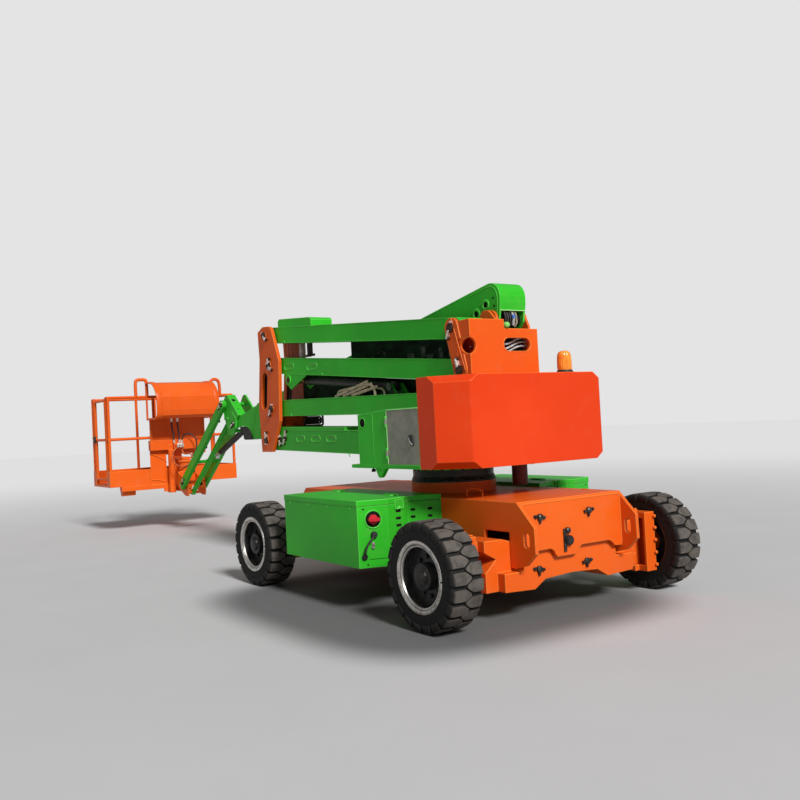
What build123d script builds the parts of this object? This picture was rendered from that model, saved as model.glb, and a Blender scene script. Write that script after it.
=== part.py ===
from build123d import *
from math import atan2, cos, degrees, pi, radians, sin, tan
import os

# Articulating boom lift: a four-wheel chassis, a slewing turntable, a riser of two
# parallelograms, a telescopic main boom beside it, a jib and a rotating platform.
# Millimetres, +X towards the platform, +Y towards the left side, +Z up. Lengths along X are
# measured from the middle of the wheelbase, and each piece is written with the origin on
# the ground under the middle of the overall length.

# --- running gear ---
WHEELBASE = 2354
OVERALL_WIDTH = 2334
TYRE_RADIUS = 355
TYRE_WIDTH = 245
TYRE_SHOULDER = 28
RIM_RADIUS = 235
RIM_WALL = 14
RIM_DISH_DEPTH = 92
RIM_DISC = 16
HUB_RADIUS = 88
HUB_REACH = 62
SPINDLE_RADIUS = 42
KING_PIN_OFFSET = 225
KING_PIN_RADIUS = 30
KNUCKLE_RADIUS = 62
YOKE_LOW = 157
YOKE_HIGH = 588
YOKE_FLANGE = 42
YOKE_HALF_LENGTH = 150
YOKE_WEB_FROM = 62
YOKE_WEB_TO = 82
YOKE_CHEEK = 20
KING_BOSS_RADIUS = 55
HUB_DRUM_RADIUS = 95
AXLE_LENGTH = 230
AXLE_BODY_LENGTH = 366
AXLE_BODY_HALF = 440
AXLE_APRON_HALF = 610
AXLE_APRON_HIGH = 325
AXLE_MID_LOW = 262
AXLE_MID_HIGH = 500
AXLE_END_LOW = 205
AXLE_END_HIGH = 540
TRUNNION_Z = 545
TRUNNION_RADIUS = 30
TRUNNION_LENGTH = 250
ARCH_ROOM = 40
RUNNING_FIT = 0.05
GAP = 6

# --- chassis ---
CHASSIS_HALF_WIDTH = 494
CHASSIS_PLATE = 25
CHASSIS_TOP = 778
CHASSIS_LOW = 345
NOSE_X = WHEELBASE / 2 + 354
NOSE_TOP_X = WHEELBASE / 2 + 201
NOSE_TOP_DROP = 156
NOSE_LOW_X = WHEELBASE / 2 + 263
NOSE_LOW_Z = 371
NOSE_FACE_LOW = 455
NOSE_FOOT = 90
END_PLATE_X = WHEELBASE / 2 + 208
END_PLATE = 24
DECK_PLATE = 14
BELLY_PLATE = 12
BELLY_REACH = WHEELBASE / 2 - 257
LIFT_SLOT_X = WHEELBASE / 2 + 278
LIFT_SLOT_Z = 537
LIFT_SLOT_LENGTH = 100
LIFT_SLOT_RADIUS = 26
PEDESTAL_RADIUS = 335
PEDESTAL_TOP = 858

# --- side boxes ---
BOX_REAR = -491
BOX_FRONT = 564
BOX_OUTER = 1159
BOX_LOW = 331
BOX_HIGH = 764
BOX_WALL = 6
BOX_NOSE = 59
BOX_NOSE_Y = 940
BOX_WAIST_Y = 730
BOX_INNER_REAR = -600
LID_LIP = 40
LID_PLATE = 4
LID_OVERHANG = 3
LID_GAP = 8
LID_HINGE_Y = 746
LID_HINGE_RADIUS = 7
LID_HINGE_PIN = 4
LID_HINGE_LENGTH = 90
LID_HINGE_X = (-330, 400)
BATTERY_GAP = 40

# --- slew ring and turntable ---
SLEW_X = -150
RING_RADIUS = 320
RING_BORE = 255
RING_TOP = 950
TURNTABLE_LOW = 1003
FLOOR_PLATE = 27
TURNTABLE_NOSE = 113
HOOD_FRONT = 0
HOOD_REAR = -765
HOOD_OUTER = 790
HOOD_INNER = 372
HOOD_TOP_FRONT = 1411
HOOD_TOP = 1441
HOOD_SHEET = 4
TOWER_PLATE = 22
DOOR_FRONT = -388
DOOR_REAR = -762
DOOR_LOW = 1036
DOOR_HIGH = 1428
DOOR_SHEET = 3

# --- counterweight ---
WEIGHT_LOW = 1003
WEIGHT_HIGH = 1643
WEIGHT_FRONT = -765
WEIGHT_SIDE_END = -952
WEIGHT_REAR = -1143
WEIGHT_HALF = 790
WEIGHT_REAR_HALF = 620
WEIGHT_BEVEL = 48
WEIGHT_SOFT = 40

# --- riser: pivots as (x, z) ---
T1 = (-470, 1150)
LINK_LOWER = (-140, 320)
P1 = (2430, 1222)
P3_OFFSET = (-130, 760)
LINK_UPPER = (80, 320)
Q3 = (-680, 1700)
RISER_Y = 160
RISER_HALF = 118
ARM1_DEPTH = 210
ARM1_DEEP = 240
ARM1_DEEP_FROM = 1000
ARM_DEPTH = 162
ARM_WALL = 10
RISER_PIN = 34
RISER_BOSS = 70
SIDE_PLATE = 18
MID_PLATE = 34
PLATE_GAP = 12
STRAP_RADIUS = 74
STRAP_PLATE = 8
CORNER_HOLE_RADIUS = 60
CORNER_HOLE_Z = 1872

T2 = (T1[0] + LINK_LOWER[0], T1[1] + LINK_LOWER[1])
P2 = (P1[0] + LINK_LOWER[0], P1[1] + LINK_LOWER[1])
P3 = (P1[0] + P3_OFFSET[0], P1[1] + P3_OFFSET[1])
P4 = (P3[0] + LINK_UPPER[0], P3[1] + LINK_UPPER[1])
Q4 = (Q3[0] + LINK_UPPER[0], Q3[1] + LINK_UPPER[1])
ARM_HIGH_Y = RISER_Y + RISER_HALF
ARM_LOW_Y = RISER_Y - RISER_HALF
LINK_HIGH_Y = ARM_HIGH_Y + PLATE_GAP + SIDE_PLATE
LINK_LOW_Y = ARM_LOW_Y - PLATE_GAP - SIDE_PLATE

# riser cylinder, between arm 2 and arm 3
RISER_CYL_FOOT = (350, 1645)
RISER_CYL_EYE = (1968, 1814)
CYL_BARREL = 46
CYL_ROD = 26
CYL_EYE = 40
CYL_EYE_HALF = 28
CYL_PIN = 20

# --- boom bracket and main boom ---
BOOM_Y = -170
BOOM_HALF = 130
BOOM_PIVOT = (-665, 2080)
BOOM_PIN = 32
BOOM_ANGLE = -10.5
BOOM_ROOT = (-426, 2320)
BOOM_DEPTH = 262
BOOM_ROOT_DEPTH = 350
BOOM_WALL = 8
ROOT_PLATE = 16
ROOT_TUBE = 46
BOOM_TIP_X = 3335
BRACKET_REAR = -792
BRACKET_PLATE = 24
BRACKET_TOP = 2067
BRACKET_LOW = 1662
BRACKET_FAR_Y = -369
LUG_PLATE = 20
LUG_RADIUS = 70
BOOM_CYL_FOOT = (-560, 1640)
BOOM_CYL_EYE = (480, 1802)
BOOM_CYL_BARREL = 58
BOOM_CYL_ROD = 34
BOOM_CYL_EYE_R = 48

# --- fly boom, knuckle and jib ---
FLY_HALF = 110
FLY_DEPTH = 218
FLY_WALL = 8
FLY_INSIDE = 2900
HEAD_HALF = 105
HEAD_PLATE = 22
KNUCKLE_PIVOT = (4014, 1412)
KNUCKLE_PLATE = 20
KNUCKLE_GAP = 6
JIB_TOP = (4220, 1660)
JIB_END = (5600, 660)
JIB_LINK_DROP = (-10, -140)
JIB_ARM_DEPTH = 108
JIB_ARM_WIDTH = 50
JIB_PIN = 24
JIB_CYL_FOOT = (4130, 1330)
JIB_CYL_EYE = (4980, 1010)
JIB_CYL_BARREL = 38
JIB_CYL_ROD = 20

# --- platform ---
ROTATOR_X = 5930
ROTATOR_RADIUS = 85
ROTATOR_LOW = 560
ROTATOR_HIGH = 960
PLATFORM_REAR = 6200
PLATFORM_DEPTH = 760
PLATFORM_LEFT = 830
PLATFORM_RIGHT = -1085
FLOOR_LOW = 630
FLOOR_TOP = 650
TOE_TOP = 850
TOE_SHEET = 4
MID_RAIL = 1290
TOP_RAIL = 1870
RAIL_RADIUS = 19
GATE_FROM = 6330
GATE_TO = 6840
COVER_LEFT = 270
COVER_RIGHT = -650
COVER_LOW = TOP_RAIL - 320
COVER_HIGH = TOP_RAIL + 190
CONSOLE_TOP = TOP_RAIL - 80
COVER_REACH = 450
COVER_SHEET = 5
PANEL_SEAT = 6
HINGE_PIN = 4
HINGE_RING = 7
GATE_PIN = 8
CARRIER_PIN = 30
CARRIER_POST_RADIUS = 44
CARRIER_POST = (6100, -31)

os.makedirs("parts", exist_ok=True)

STEER_X = -WHEELBASE / 2
DRIVE_X = WHEELBASE / 2
WHEEL_OUTER_Y = OVERALL_WIDTH / 2
WHEEL_Y = WHEEL_OUTER_Y - TYRE_WIDTH / 2
KING_PIN_Y = WHEEL_Y - KING_PIN_OFFSET + 8
AXLE_Z = TYRE_RADIUS
MIDDLE_X = (PLATFORM_REAR + PLATFORM_DEPTH + STEER_X - TYRE_RADIUS) / 2


def plate(points, y_high, thickness, mode=Mode.ADD):
    """A flat plate with its outline in the XZ plane, from y_high towards -Y."""
    with BuildSketch(Plane.XZ.offset(-y_high)) as face:
        with BuildLine():
            Polyline(*points, close=True)
        make_face()
    extrude(face.sketch, amount=thickness, mode=mode)


def disc(centre, radius, y_high, y_low, mode=Mode.ADD):
    """A round bar or bore along Y about a point of the XZ plane."""
    with BuildSketch(Plane.XZ.offset(-y_high)) as face:
        with Locations(centre):
            Circle(radius)
    extrude(face.sketch, amount=y_high - y_low, mode=mode)


def slab(x0, x1, y0, y1, z0, z1, mode=Mode.ADD):
    """A rectangular block between two corners."""
    with Locations(((x0 + x1) / 2, (y0 + y1) / 2, (z0 + z1) / 2)):
        Box(abs(x1 - x0), abs(y1 - y0), abs(z1 - z0), mode=mode)


def ahead(start, end, distance, offset=0.0):
    """The point at a distance from start towards end, moved square to the line."""
    angle = atan2(end[1] - start[1], end[0] - start[0])
    return (
        start[0] + distance * cos(angle) - offset * sin(angle),
        start[1] + distance * sin(angle) + offset * cos(angle),
    )


def span(start, end):
    """The distance between two points of the XZ plane."""
    return ((end[0] - start[0]) ** 2 + (end[1] - start[1]) ** 2) ** 0.5


def strip(start, end, depth, y_high, thickness, mode=Mode.ADD):
    """A straight bar of rectangular section between two points."""
    length = span(start, end)
    corners = ((0, -depth / 2), (length, -depth / 2), (length, depth / 2), (0, depth / 2))
    plate([ahead(start, end, t, o) for t, o in corners], y_high, thickness, mode)


def slot(start, end, radius, y_high, thickness, mode=Mode.SUBTRACT):
    """A plate or opening with round ends between two points of the XZ plane."""
    strip(start, end, 2 * radius, y_high, thickness, mode)
    for point in (start, end):
        disc(point, radius, y_high, y_high - thickness, mode)


def write(part, name):
    """Label one node, move it to the middle of the overall length and write its STEP file."""
    placed = part.moved(Location((-MIDDLE_X, 0, 0)))
    placed.label = name
    export_step(placed, f"parts/{name}.step")


# =====================================================================================
# Chassis: two profiled side plates joined by a deck, a belly plate and end plates
# =====================================================================================
nose_side = [
    (NOSE_TOP_X, CHASSIS_TOP),
    (NOSE_X - 3, CHASSIS_TOP - NOSE_TOP_DROP),
    (NOSE_X, NOSE_FACE_LOW),
    (NOSE_LOW_X, NOSE_LOW_Z),
    (NOSE_LOW_X - NOSE_FOOT, CHASSIS_LOW),
]
end_plate_outline = [
    (CHASSIS_HALF_WIDTH - CHASSIS_PLATE, CHASSIS_TOP - DECK_PLATE),
    (CHASSIS_HALF_WIDTH - CHASSIS_PLATE, 405),
    (440, 402), (427, 447), (223, 450), (196, 436), (176, 402), (162, 389), (-7, 389),
    (-30, 402), (-52, 434), (-71, 446), (-340, 446), (-372, 430), (-400, 402),
    (CHASSIS_PLATE - CHASSIS_HALF_WIDTH, 398),
    (CHASSIS_PLATE - CHASSIS_HALF_WIDTH, CHASSIS_TOP - DECK_PLATE),
]
side_outline = nose_side + [(-x, z) for x, z in reversed(nose_side)]
with BuildPart() as chassis:
    for y_high in (CHASSIS_HALF_WIDTH, CHASSIS_PLATE - CHASSIS_HALF_WIDTH):
        plate(side_outline, y_high, CHASSIS_PLATE)
    inner = CHASSIS_HALF_WIDTH - CHASSIS_PLATE
    slab(-NOSE_TOP_X, NOSE_TOP_X, -inner, inner, CHASSIS_TOP - DECK_PLATE, CHASSIS_TOP)
    slab(-BELLY_REACH, BELLY_REACH, -inner, inner, CHASSIS_LOW, CHASSIS_LOW + BELLY_PLATE)
    for x in (-END_PLATE_X, END_PLATE_X):
        with BuildSketch(Plane.YZ.offset(x - END_PLATE / 2)) as face:
            with BuildLine():
                Polyline(*end_plate_outline, close=True)
            make_face()
        extrude(face.sketch, amount=END_PLATE)
    with Locations((SLEW_X, 0, (CHASSIS_TOP + PEDESTAL_TOP) / 2)):
        Cylinder(PEDESTAL_RADIUS, PEDESTAL_TOP - CHASSIS_TOP)
    with Locations((SLEW_X, 0, CHASSIS_TOP)):
        Cylinder(RING_BORE - 40, 300, mode=Mode.SUBTRACT)
    # arches for the two axles
    for x in (STEER_X, DRIVE_X):
        half = AXLE_LENGTH / 2 + GAP
        slab(x - half, x + half, -700, 700, 0, AXLE_END_HIGH + ARCH_ROOM, Mode.SUBTRACT)
    # lifting slots in the noses
    for x in (-LIFT_SLOT_X, LIFT_SLOT_X):
        for y_high in (CHASSIS_HALF_WIDTH, CHASSIS_PLATE - CHASSIS_HALF_WIDTH):
            low = LIFT_SLOT_Z - LIFT_SLOT_LENGTH / 2 + LIFT_SLOT_RADIUS
            high = LIFT_SLOT_Z + LIFT_SLOT_LENGTH / 2 - LIFT_SLOT_RADIUS
            slot((x, low), (x, high), LIFT_SLOT_RADIUS, y_high, CHASSIS_PLATE)
    # axle trunnion pins, on the end plates
    for x, reach in ((-END_PLATE_X, 1), (END_PLATE_X, -1)):
        with Locations(Location((x + reach * (TRUNNION_LENGTH / 2 - 5), 0, TRUNNION_Z), (0, 90, 0))):
            Cylinder(TRUNNION_RADIUS, TRUNNION_LENGTH)
write(chassis.part, "chassis")

# =====================================================================================
# Axles: the steer axle ends in king pin bosses, the drive axle in hub drums
# =====================================================================================
AXLE_CENTRE_HIGH = 605
AXLE_REACH = KING_PIN_Y - 115
DRUM_FROM = WHEEL_OUTER_Y - TYRE_WIDTH - 20


def axle_bar(outline, x, length):
    """A bar along X with a YZ outline given for one side and mirrored to the other."""
    full = outline + [(-y, z) for y, z in reversed(outline[1:-1])]
    with BuildSketch(Plane.YZ.offset(x - length / 2)) as face:
        with BuildLine():
            Polyline(*full, close=True)
        make_face()
    extrude(face.sketch, amount=length)


for name, x, steered in (("steer_axle", STEER_X, True), ("drive_axle", DRIVE_X, False)):
    reach = AXLE_REACH if steered else DRUM_FROM
    beam = [
        (0, AXLE_MID_LOW), (250, AXLE_MID_LOW - 12), (350, AXLE_END_LOW), (reach, AXLE_END_LOW),
        (reach, AXLE_END_HIGH), (560, AXLE_END_HIGH), (420, AXLE_MID_HIGH), (150, AXLE_MID_HIGH),
        (90, AXLE_CENTRE_HIGH), (0, AXLE_CENTRE_HIGH),
    ]
    body = [
        (0, AXLE_MID_LOW), (250, AXLE_MID_LOW - 12), (350, AXLE_END_LOW - 12),
        (AXLE_APRON_HALF, AXLE_END_LOW), (AXLE_APRON_HALF, AXLE_APRON_HIGH),
        (AXLE_BODY_HALF, AXLE_APRON_HIGH), (AXLE_BODY_HALF, AXLE_MID_HIGH), (0, AXLE_MID_HIGH),
    ]
    with BuildPart() as axle:
        axle_bar(beam, x, AXLE_LENGTH)
        axle_bar(body, x, AXLE_BODY_LENGTH)
        with Locations(Location((x, 0, TRUNNION_Z), (0, 90, 0))):
            Cylinder(TRUNNION_RADIUS + RUNNING_FIT, 2 * AXLE_BODY_LENGTH, mode=Mode.SUBTRACT)
        for side in (-1, 1):
            if steered:
                # window behind each king pin boss, then the boss on its two gussets
                window = [(reach + 60, 500), (reach - 95, 415), (reach + 60, 280)]
                with BuildSketch(Plane.YZ.offset(x - AXLE_LENGTH)) as face:
                    with BuildLine():
                        Polyline(*[(side * y, z) for y, z in window], close=True)
                    make_face()
                extrude(face.sketch, amount=2 * AXLE_LENGTH, mode=Mode.SUBTRACT)
                slab(x - 50, x + 50, side * (reach - 100), side * (KING_PIN_Y - 20), 210, 280)
                slab(x - 50, x + 50, side * (reach - 100), side * (KING_PIN_Y - 20), 470, 535)
                low = YOKE_LOW + YOKE_FLANGE + 1
                high = YOKE_HIGH - YOKE_FLANGE - 1
                with Locations((x, side * KING_PIN_Y, (low + high) / 2)):
                    Cylinder(KING_BOSS_RADIUS, high - low)
                    Cylinder(KING_PIN_RADIUS + RUNNING_FIT, high - low, mode=Mode.SUBTRACT)
            else:
                with Locations(Location((x, side * (reach + 40), AXLE_Z), (90, 0, 0))):
                    Cylinder(HUB_DRUM_RADIUS + 25, 120)
                with Locations(Location((x, side * (WHEEL_Y - 30), AXLE_Z), (90, 0, 0))):
                    Cylinder(SPINDLE_RADIUS, 190)
    write(axle.part, name)

# Steering knuckles: a C of plates that holds the king pin and carries the spindle
for name, side in (("knuckle_left", 1), ("knuckle_right", -1)):
    with BuildPart() as knuckle:
        x_low, x_high = STEER_X - YOKE_HALF_LENGTH, STEER_X + YOKE_HALF_LENGTH
        web_out = side * (KING_PIN_Y + YOKE_WEB_TO)
        slab(x_low, x_high, side * (KING_PIN_Y + YOKE_WEB_FROM), web_out, YOKE_LOW, YOKE_HIGH)
        for x in (x_low, x_high - YOKE_CHEEK):
            slab(x, x + YOKE_CHEEK, side * (KING_PIN_Y - 20), web_out, YOKE_LOW, YOKE_HIGH)
        for low, high in ((YOKE_LOW, YOKE_LOW + YOKE_FLANGE), (YOKE_HIGH - YOKE_FLANGE, YOKE_HIGH)):
            slab(x_low, x_high, side * (KING_PIN_Y - 20), web_out, low, high)
            slab(STEER_X - 75, STEER_X + 75, side * (KING_PIN_Y - 60), side * KING_PIN_Y, low, high)
        with Locations((STEER_X, side * KING_PIN_Y, (YOKE_LOW + YOKE_HIGH) / 2)):
            Cylinder(KING_PIN_RADIUS, YOKE_HIGH - YOKE_LOW)
        with Locations(Location((STEER_X, side * (KING_PIN_Y + YOKE_WEB_TO + 60), AXLE_Z), (90, 0, 0))):
            Cylinder(HUB_DRUM_RADIUS, 130)
        with Locations(Location((STEER_X, side * (KING_PIN_Y + 170), AXLE_Z), (90, 0, 0))):
            Cylinder(SPINDLE_RADIUS, 210)
    write(knuckle.part, name)

# =====================================================================================
# Wheels: a solid tyre on a dished rim, four alike
# =====================================================================================
WHEELS = (
    # name, x, side
    ("steer_left", STEER_X, 1),
    ("steer_right", STEER_X, -1),
    ("drive_left", DRIVE_X, 1),
    ("drive_right", DRIVE_X, -1),
)
half_tyre = TYRE_WIDTH / 2
tyre_section = [
    (RIM_RADIUS - 6, -half_tyre + 14),
    (RIM_RADIUS + 30, -half_tyre),
    (TYRE_RADIUS - TYRE_SHOULDER, -half_tyre),
    (TYRE_RADIUS, -half_tyre + TYRE_SHOULDER),
    (TYRE_RADIUS, half_tyre - TYRE_SHOULDER),
    (TYRE_RADIUS - TYRE_SHOULDER, half_tyre),
    (RIM_RADIUS + 30, half_tyre),
    (RIM_RADIUS - 6, half_tyre - 14),
]
disc_face = half_tyre - RIM_DISH_DEPTH
rim_section = [
    (SPINDLE_RADIUS + RUNNING_FIT, disc_face - RIM_DISC),
    (RIM_RADIUS - 6 - RIM_WALL, disc_face - RIM_DISC),
    (RIM_RADIUS - 6 - RIM_WALL, -half_tyre + 14),
    (RIM_RADIUS - 6, -half_tyre + 14),
    (RIM_RADIUS - 6, half_tyre - 14),
    (RIM_RADIUS - 6 - RIM_WALL, half_tyre - 4),
    (RIM_RADIUS - 6 - RIM_WALL, disc_face),
    (HUB_RADIUS, disc_face),
    (HUB_RADIUS, disc_face + HUB_REACH),
    (SPINDLE_RADIUS + RUNNING_FIT, disc_face + HUB_REACH),
]
for name, x, side in WHEELS:
    hub = Plane(origin=(x, side * WHEEL_Y, AXLE_Z), x_dir=(1, 0, 0), z_dir=(0, 0, 1))
    axis = Axis((x, side * WHEEL_Y, AXLE_Z), (0, 1, 0))
    for kind, section in (("tyre", tyre_section), ("rim", rim_section)):
        with BuildPart() as wheel:
            with BuildSketch(hub):
                with BuildLine():
                    Polyline(*[(r, side * y) for r, y in section], close=True)
                make_face()
            revolve(axis=axis)
        write(wheel.part, f"{kind}_{name}")

# =====================================================================================
# Side boxes with their lids, and the battery pack inside the left one
# =====================================================================================
LID_HINGE_Z = BOX_HIGH + LID_LIP + LID_HINGE_RADIUS
for name, side in (("left", 1), ("right", -1)):
    corners = [
        (BOX_FRONT, CHASSIS_HALF_WIDTH),
        (BOX_FRONT, BOX_OUTER),
        (BOX_REAR, BOX_OUTER),
        (BOX_REAR - BOX_NOSE, BOX_NOSE_Y),
        (BOX_REAR - 15, BOX_WAIST_Y),
        (BOX_INNER_REAR, CHASSIS_HALF_WIDTH),
    ]
    outline = [(x, side * y) for x, y in corners]
    with BuildPart() as box:
        with BuildSketch(Plane.XY.offset(BOX_LOW)) as plan:
            with BuildLine():
                Polyline(*outline, close=True)
            make_face()
        extrude(amount=BOX_HIGH - BOX_LOW)
        with BuildSketch(Plane.XY.offset(BOX_LOW + BOX_WALL)):
            with BuildLine():
                Polyline(*outline, close=True)
            make_face()
            offset(amount=-BOX_WALL, kind=Kind.INTERSECTION)
        extrude(amount=BOX_HIGH - BOX_LOW, mode=Mode.SUBTRACT)
        # fixed inner strip with the lid's hinge pins
        strip_y = LID_HINGE_Y - LID_GAP / 2
        strip_rear = BOX_REAR - 15 - (BOX_NOSE - 15) * (strip_y - BOX_WAIST_Y) / (BOX_NOSE_Y - BOX_WAIST_Y)
        strip_corners = [
            (BOX_FRONT, CHASSIS_HALF_WIDTH),
            (BOX_FRONT, strip_y),
            (strip_rear, strip_y),
            (BOX_REAR - 15, BOX_WAIST_Y),
            (BOX_INNER_REAR, CHASSIS_HALF_WIDTH),
        ]
        with BuildSketch(Plane.XY.offset(BOX_HIGH - LID_PLATE)):
            with BuildLine():
                Polyline(*[(x, side * y) for x, y in strip_corners], close=True)
            make_face()
        extrude(amount=LID_LIP + LID_PLATE)
        for x in LID_HINGE_X:
            for reach in (-1, 1):
                centre = x + reach * (LID_HINGE_LENGTH / 2 + 15.3)
                slab(centre - 15, centre + 15, side * (LID_HINGE_Y - 30), side * (LID_HINGE_Y - 2), BOX_HIGH + LID_LIP - 2, LID_HINGE_Z)
                with Locations(Location((centre, side * LID_HINGE_Y, LID_HINGE_Z), (0, 90, 0))):
                    Cylinder(LID_HINGE_RADIUS, 30)
            with Locations(Location((x, side * LID_HINGE_Y, LID_HINGE_Z), (0, 90, 0))):
                Cylinder(LID_HINGE_PIN, LID_HINGE_LENGTH + 40)
    write(box.part, f"side_box_{name}")
    with BuildPart() as lid:
        inner_y = LID_HINGE_Y + LID_GAP / 2
        lip = LID_OVERHANG
        nose_x = BOX_REAR - 15 - lip - (BOX_NOSE - 15) * (inner_y - BOX_WAIST_Y) / (BOX_NOSE_Y - BOX_WAIST_Y)
        lid_corners = [
            (BOX_FRONT + lip, inner_y),
            (BOX_FRONT + lip, BOX_OUTER + lip),
            (BOX_REAR - lip, BOX_OUTER + lip),
            (BOX_REAR - BOX_NOSE - lip, BOX_NOSE_Y),
            (nose_x, inner_y),
        ]
        with BuildSketch(Plane.XY.offset(BOX_HIGH + 0.3)):
            with BuildLine():
                Polyline(*[(x, side * y) for x, y in lid_corners], close=True)
            make_face()
        extrude(amount=LID_LIP)
        with BuildSketch(Plane.XY.offset(BOX_HIGH)):
            with BuildLine():
                Polyline(*[(x, side * y) for x, y in lid_corners], close=True)
            make_face()
            offset(amount=-LID_PLATE, kind=Kind.INTERSECTION)
        extrude(amount=LID_LIP - LID_PLATE, mode=Mode.SUBTRACT)
        for x in LID_HINGE_X:
            half = LID_HINGE_LENGTH / 2
            slab(x - half, x + half, side * (LID_HINGE_Y + 4.5), side * (LID_HINGE_Y + 40), BOX_HIGH + LID_LIP - 2, LID_HINGE_Z)
            with Locations(Location((x, side * LID_HINGE_Y, LID_HINGE_Z), (0, 90, 0))):
                Cylinder(LID_HINGE_RADIUS, LID_HINGE_LENGTH)
                Cylinder(LID_HINGE_PIN + RUNNING_FIT, LID_HINGE_LENGTH, mode=Mode.SUBTRACT)
    write(lid.part, f"box_lid_{name}")

with BuildPart() as battery:
    slab(
        BOX_REAR + BATTERY_GAP, BOX_FRONT - BATTERY_GAP,
        CHASSIS_HALF_WIDTH + BATTERY_GAP, BOX_OUTER - BATTERY_GAP,
        BOX_LOW + BOX_WALL, BOX_HIGH - BATTERY_GAP,
    )
write(battery.part, "battery_pack")

# =====================================================================================
# Slew ring and turntable
# =====================================================================================
with BuildPart() as slew_ring:
    with Locations((SLEW_X, 0, (PEDESTAL_TOP + RING_TOP) / 2)):
        Cylinder(RING_RADIUS, RING_TOP - PEDESTAL_TOP)
        Cylinder(RING_BORE, RING_TOP - PEDESTAL_TOP, mode=Mode.SUBTRACT)
write(slew_ring.part, "slew_ring")

HINGE_X = DOOR_FRONT + 9
HINGE_Y = HOOD_OUTER + HINGE_RING
HINGE_HEIGHTS = (DOOR_LOW + 80, DOOR_HIGH - 80)

tower_outline = [
    (T1[0] + 230, TURNTABLE_LOW + FLOOR_PLATE),
    (T1[0] + 120, T1[1] + 100),
    (T2[0] + 95, T2[1] + 60),
    (T2[0] + 40, T2[1] + 92),
    (T2[0] - 60, T2[1] + 92),
    (T2[0] - 110, T2[1] + 40),
    (T2[0] - 130, TURNTABLE_LOW + FLOOR_PLATE),
]
with BuildPart() as turntable:
    slab(HOOD_REAR, TURNTABLE_NOSE, -HOOD_OUTER, HOOD_OUTER, TURNTABLE_LOW, TURNTABLE_LOW + FLOOR_PLATE)
    with Locations((SLEW_X, 0, (PEDESTAL_TOP + 8 + TURNTABLE_LOW) / 2)):
        Cylinder(RING_BORE - RUNNING_FIT, TURNTABLE_LOW - PEDESTAL_TOP - 8)
    with Locations((SLEW_X, 0, (RING_TOP + 0.3 + TURNTABLE_LOW) / 2)):
        Cylinder(RING_RADIUS - 14, TURNTABLE_LOW - RING_TOP - 0.3)
    with Locations((SLEW_X, 0, 960)):
        Cylinder(150, 400, mode=Mode.SUBTRACT)
    # towers that carry the riser
    for y_high in (LINK_HIGH_Y, LINK_LOW_Y + SIDE_PLATE):
        plate(tower_outline, y_high, SIDE_PLATE)
    for pivot in (T1, T2):
        disc(pivot, RISER_PIN, LINK_HIGH_Y, LINK_LOW_Y)
    # hoods on both sides
    hood = [
        (HOOD_FRONT, TURNTABLE_LOW + FLOOR_PLATE),
        (HOOD_FRONT, HOOD_TOP_FRONT),
        (DOOR_FRONT + 3, HOOD_TOP),
        (HOOD_REAR, HOOD_TOP),
        (HOOD_REAR, TURNTABLE_LOW + FLOOR_PLATE),
    ]
    hood_inside = [
        (HOOD_FRONT - HOOD_SHEET, TURNTABLE_LOW + FLOOR_PLATE),
        (HOOD_FRONT - HOOD_SHEET, HOOD_TOP_FRONT - HOOD_SHEET),
        (DOOR_FRONT + 3, HOOD_TOP - HOOD_SHEET),
        (HOOD_REAR, HOOD_TOP - HOOD_SHEET),
        (HOOD_REAR, TURNTABLE_LOW + FLOOR_PLATE),
    ]
    for side in (-1, 1):
        top_y = max(side * HOOD_OUTER, side * HOOD_INNER)
        plate(hood, top_y, HOOD_OUTER - HOOD_INNER)
        plate(hood_inside, top_y - HOOD_SHEET, HOOD_OUTER - HOOD_INNER - 2 * HOOD_SHEET, Mode.SUBTRACT)
        for z in HINGE_HEIGHTS:
            for reach in (-1, 1):
                centre = z + reach * 30.3
                slab(HINGE_X, HINGE_X + 16, side * (HOOD_OUTER - 1), side * (HOOD_OUTER + 3), centre - 10, centre + 10)
                with Locations((HINGE_X, side * HINGE_Y, centre)):
                    Cylinder(HINGE_RING, 20)
            with Locations((HINGE_X, side * HINGE_Y, z)):
                Cylinder(HINGE_PIN, 70)
        slab(DOOR_REAR - 1, DOOR_FRONT + 1, side * (HOOD_OUTER - 20), side * (HOOD_OUTER + 5), DOOR_LOW - 1, DOOR_HIGH + 1, Mode.SUBTRACT)
write(turntable.part, "turntable")

for name, side in (("turntable_door_left", 1), ("turntable_door_right", -1)):
    with BuildPart() as door:
        slab(DOOR_REAR, DOOR_FRONT, side * (HOOD_OUTER - DOOR_SHEET), side * HOOD_OUTER, DOOR_LOW, DOOR_HIGH)
        for z in HINGE_HEIGHTS:
            slab(DOOR_FRONT - 16, HINGE_X, side * HOOD_OUTER, side * (HOOD_OUTER + 3), z - 20, z + 20)
            with Locations((HINGE_X, side * HINGE_Y, z)):
                Cylinder(HINGE_RING, 40)
                Cylinder(HINGE_PIN + RUNNING_FIT, 40, mode=Mode.SUBTRACT)
    write(door.part, name)

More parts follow.
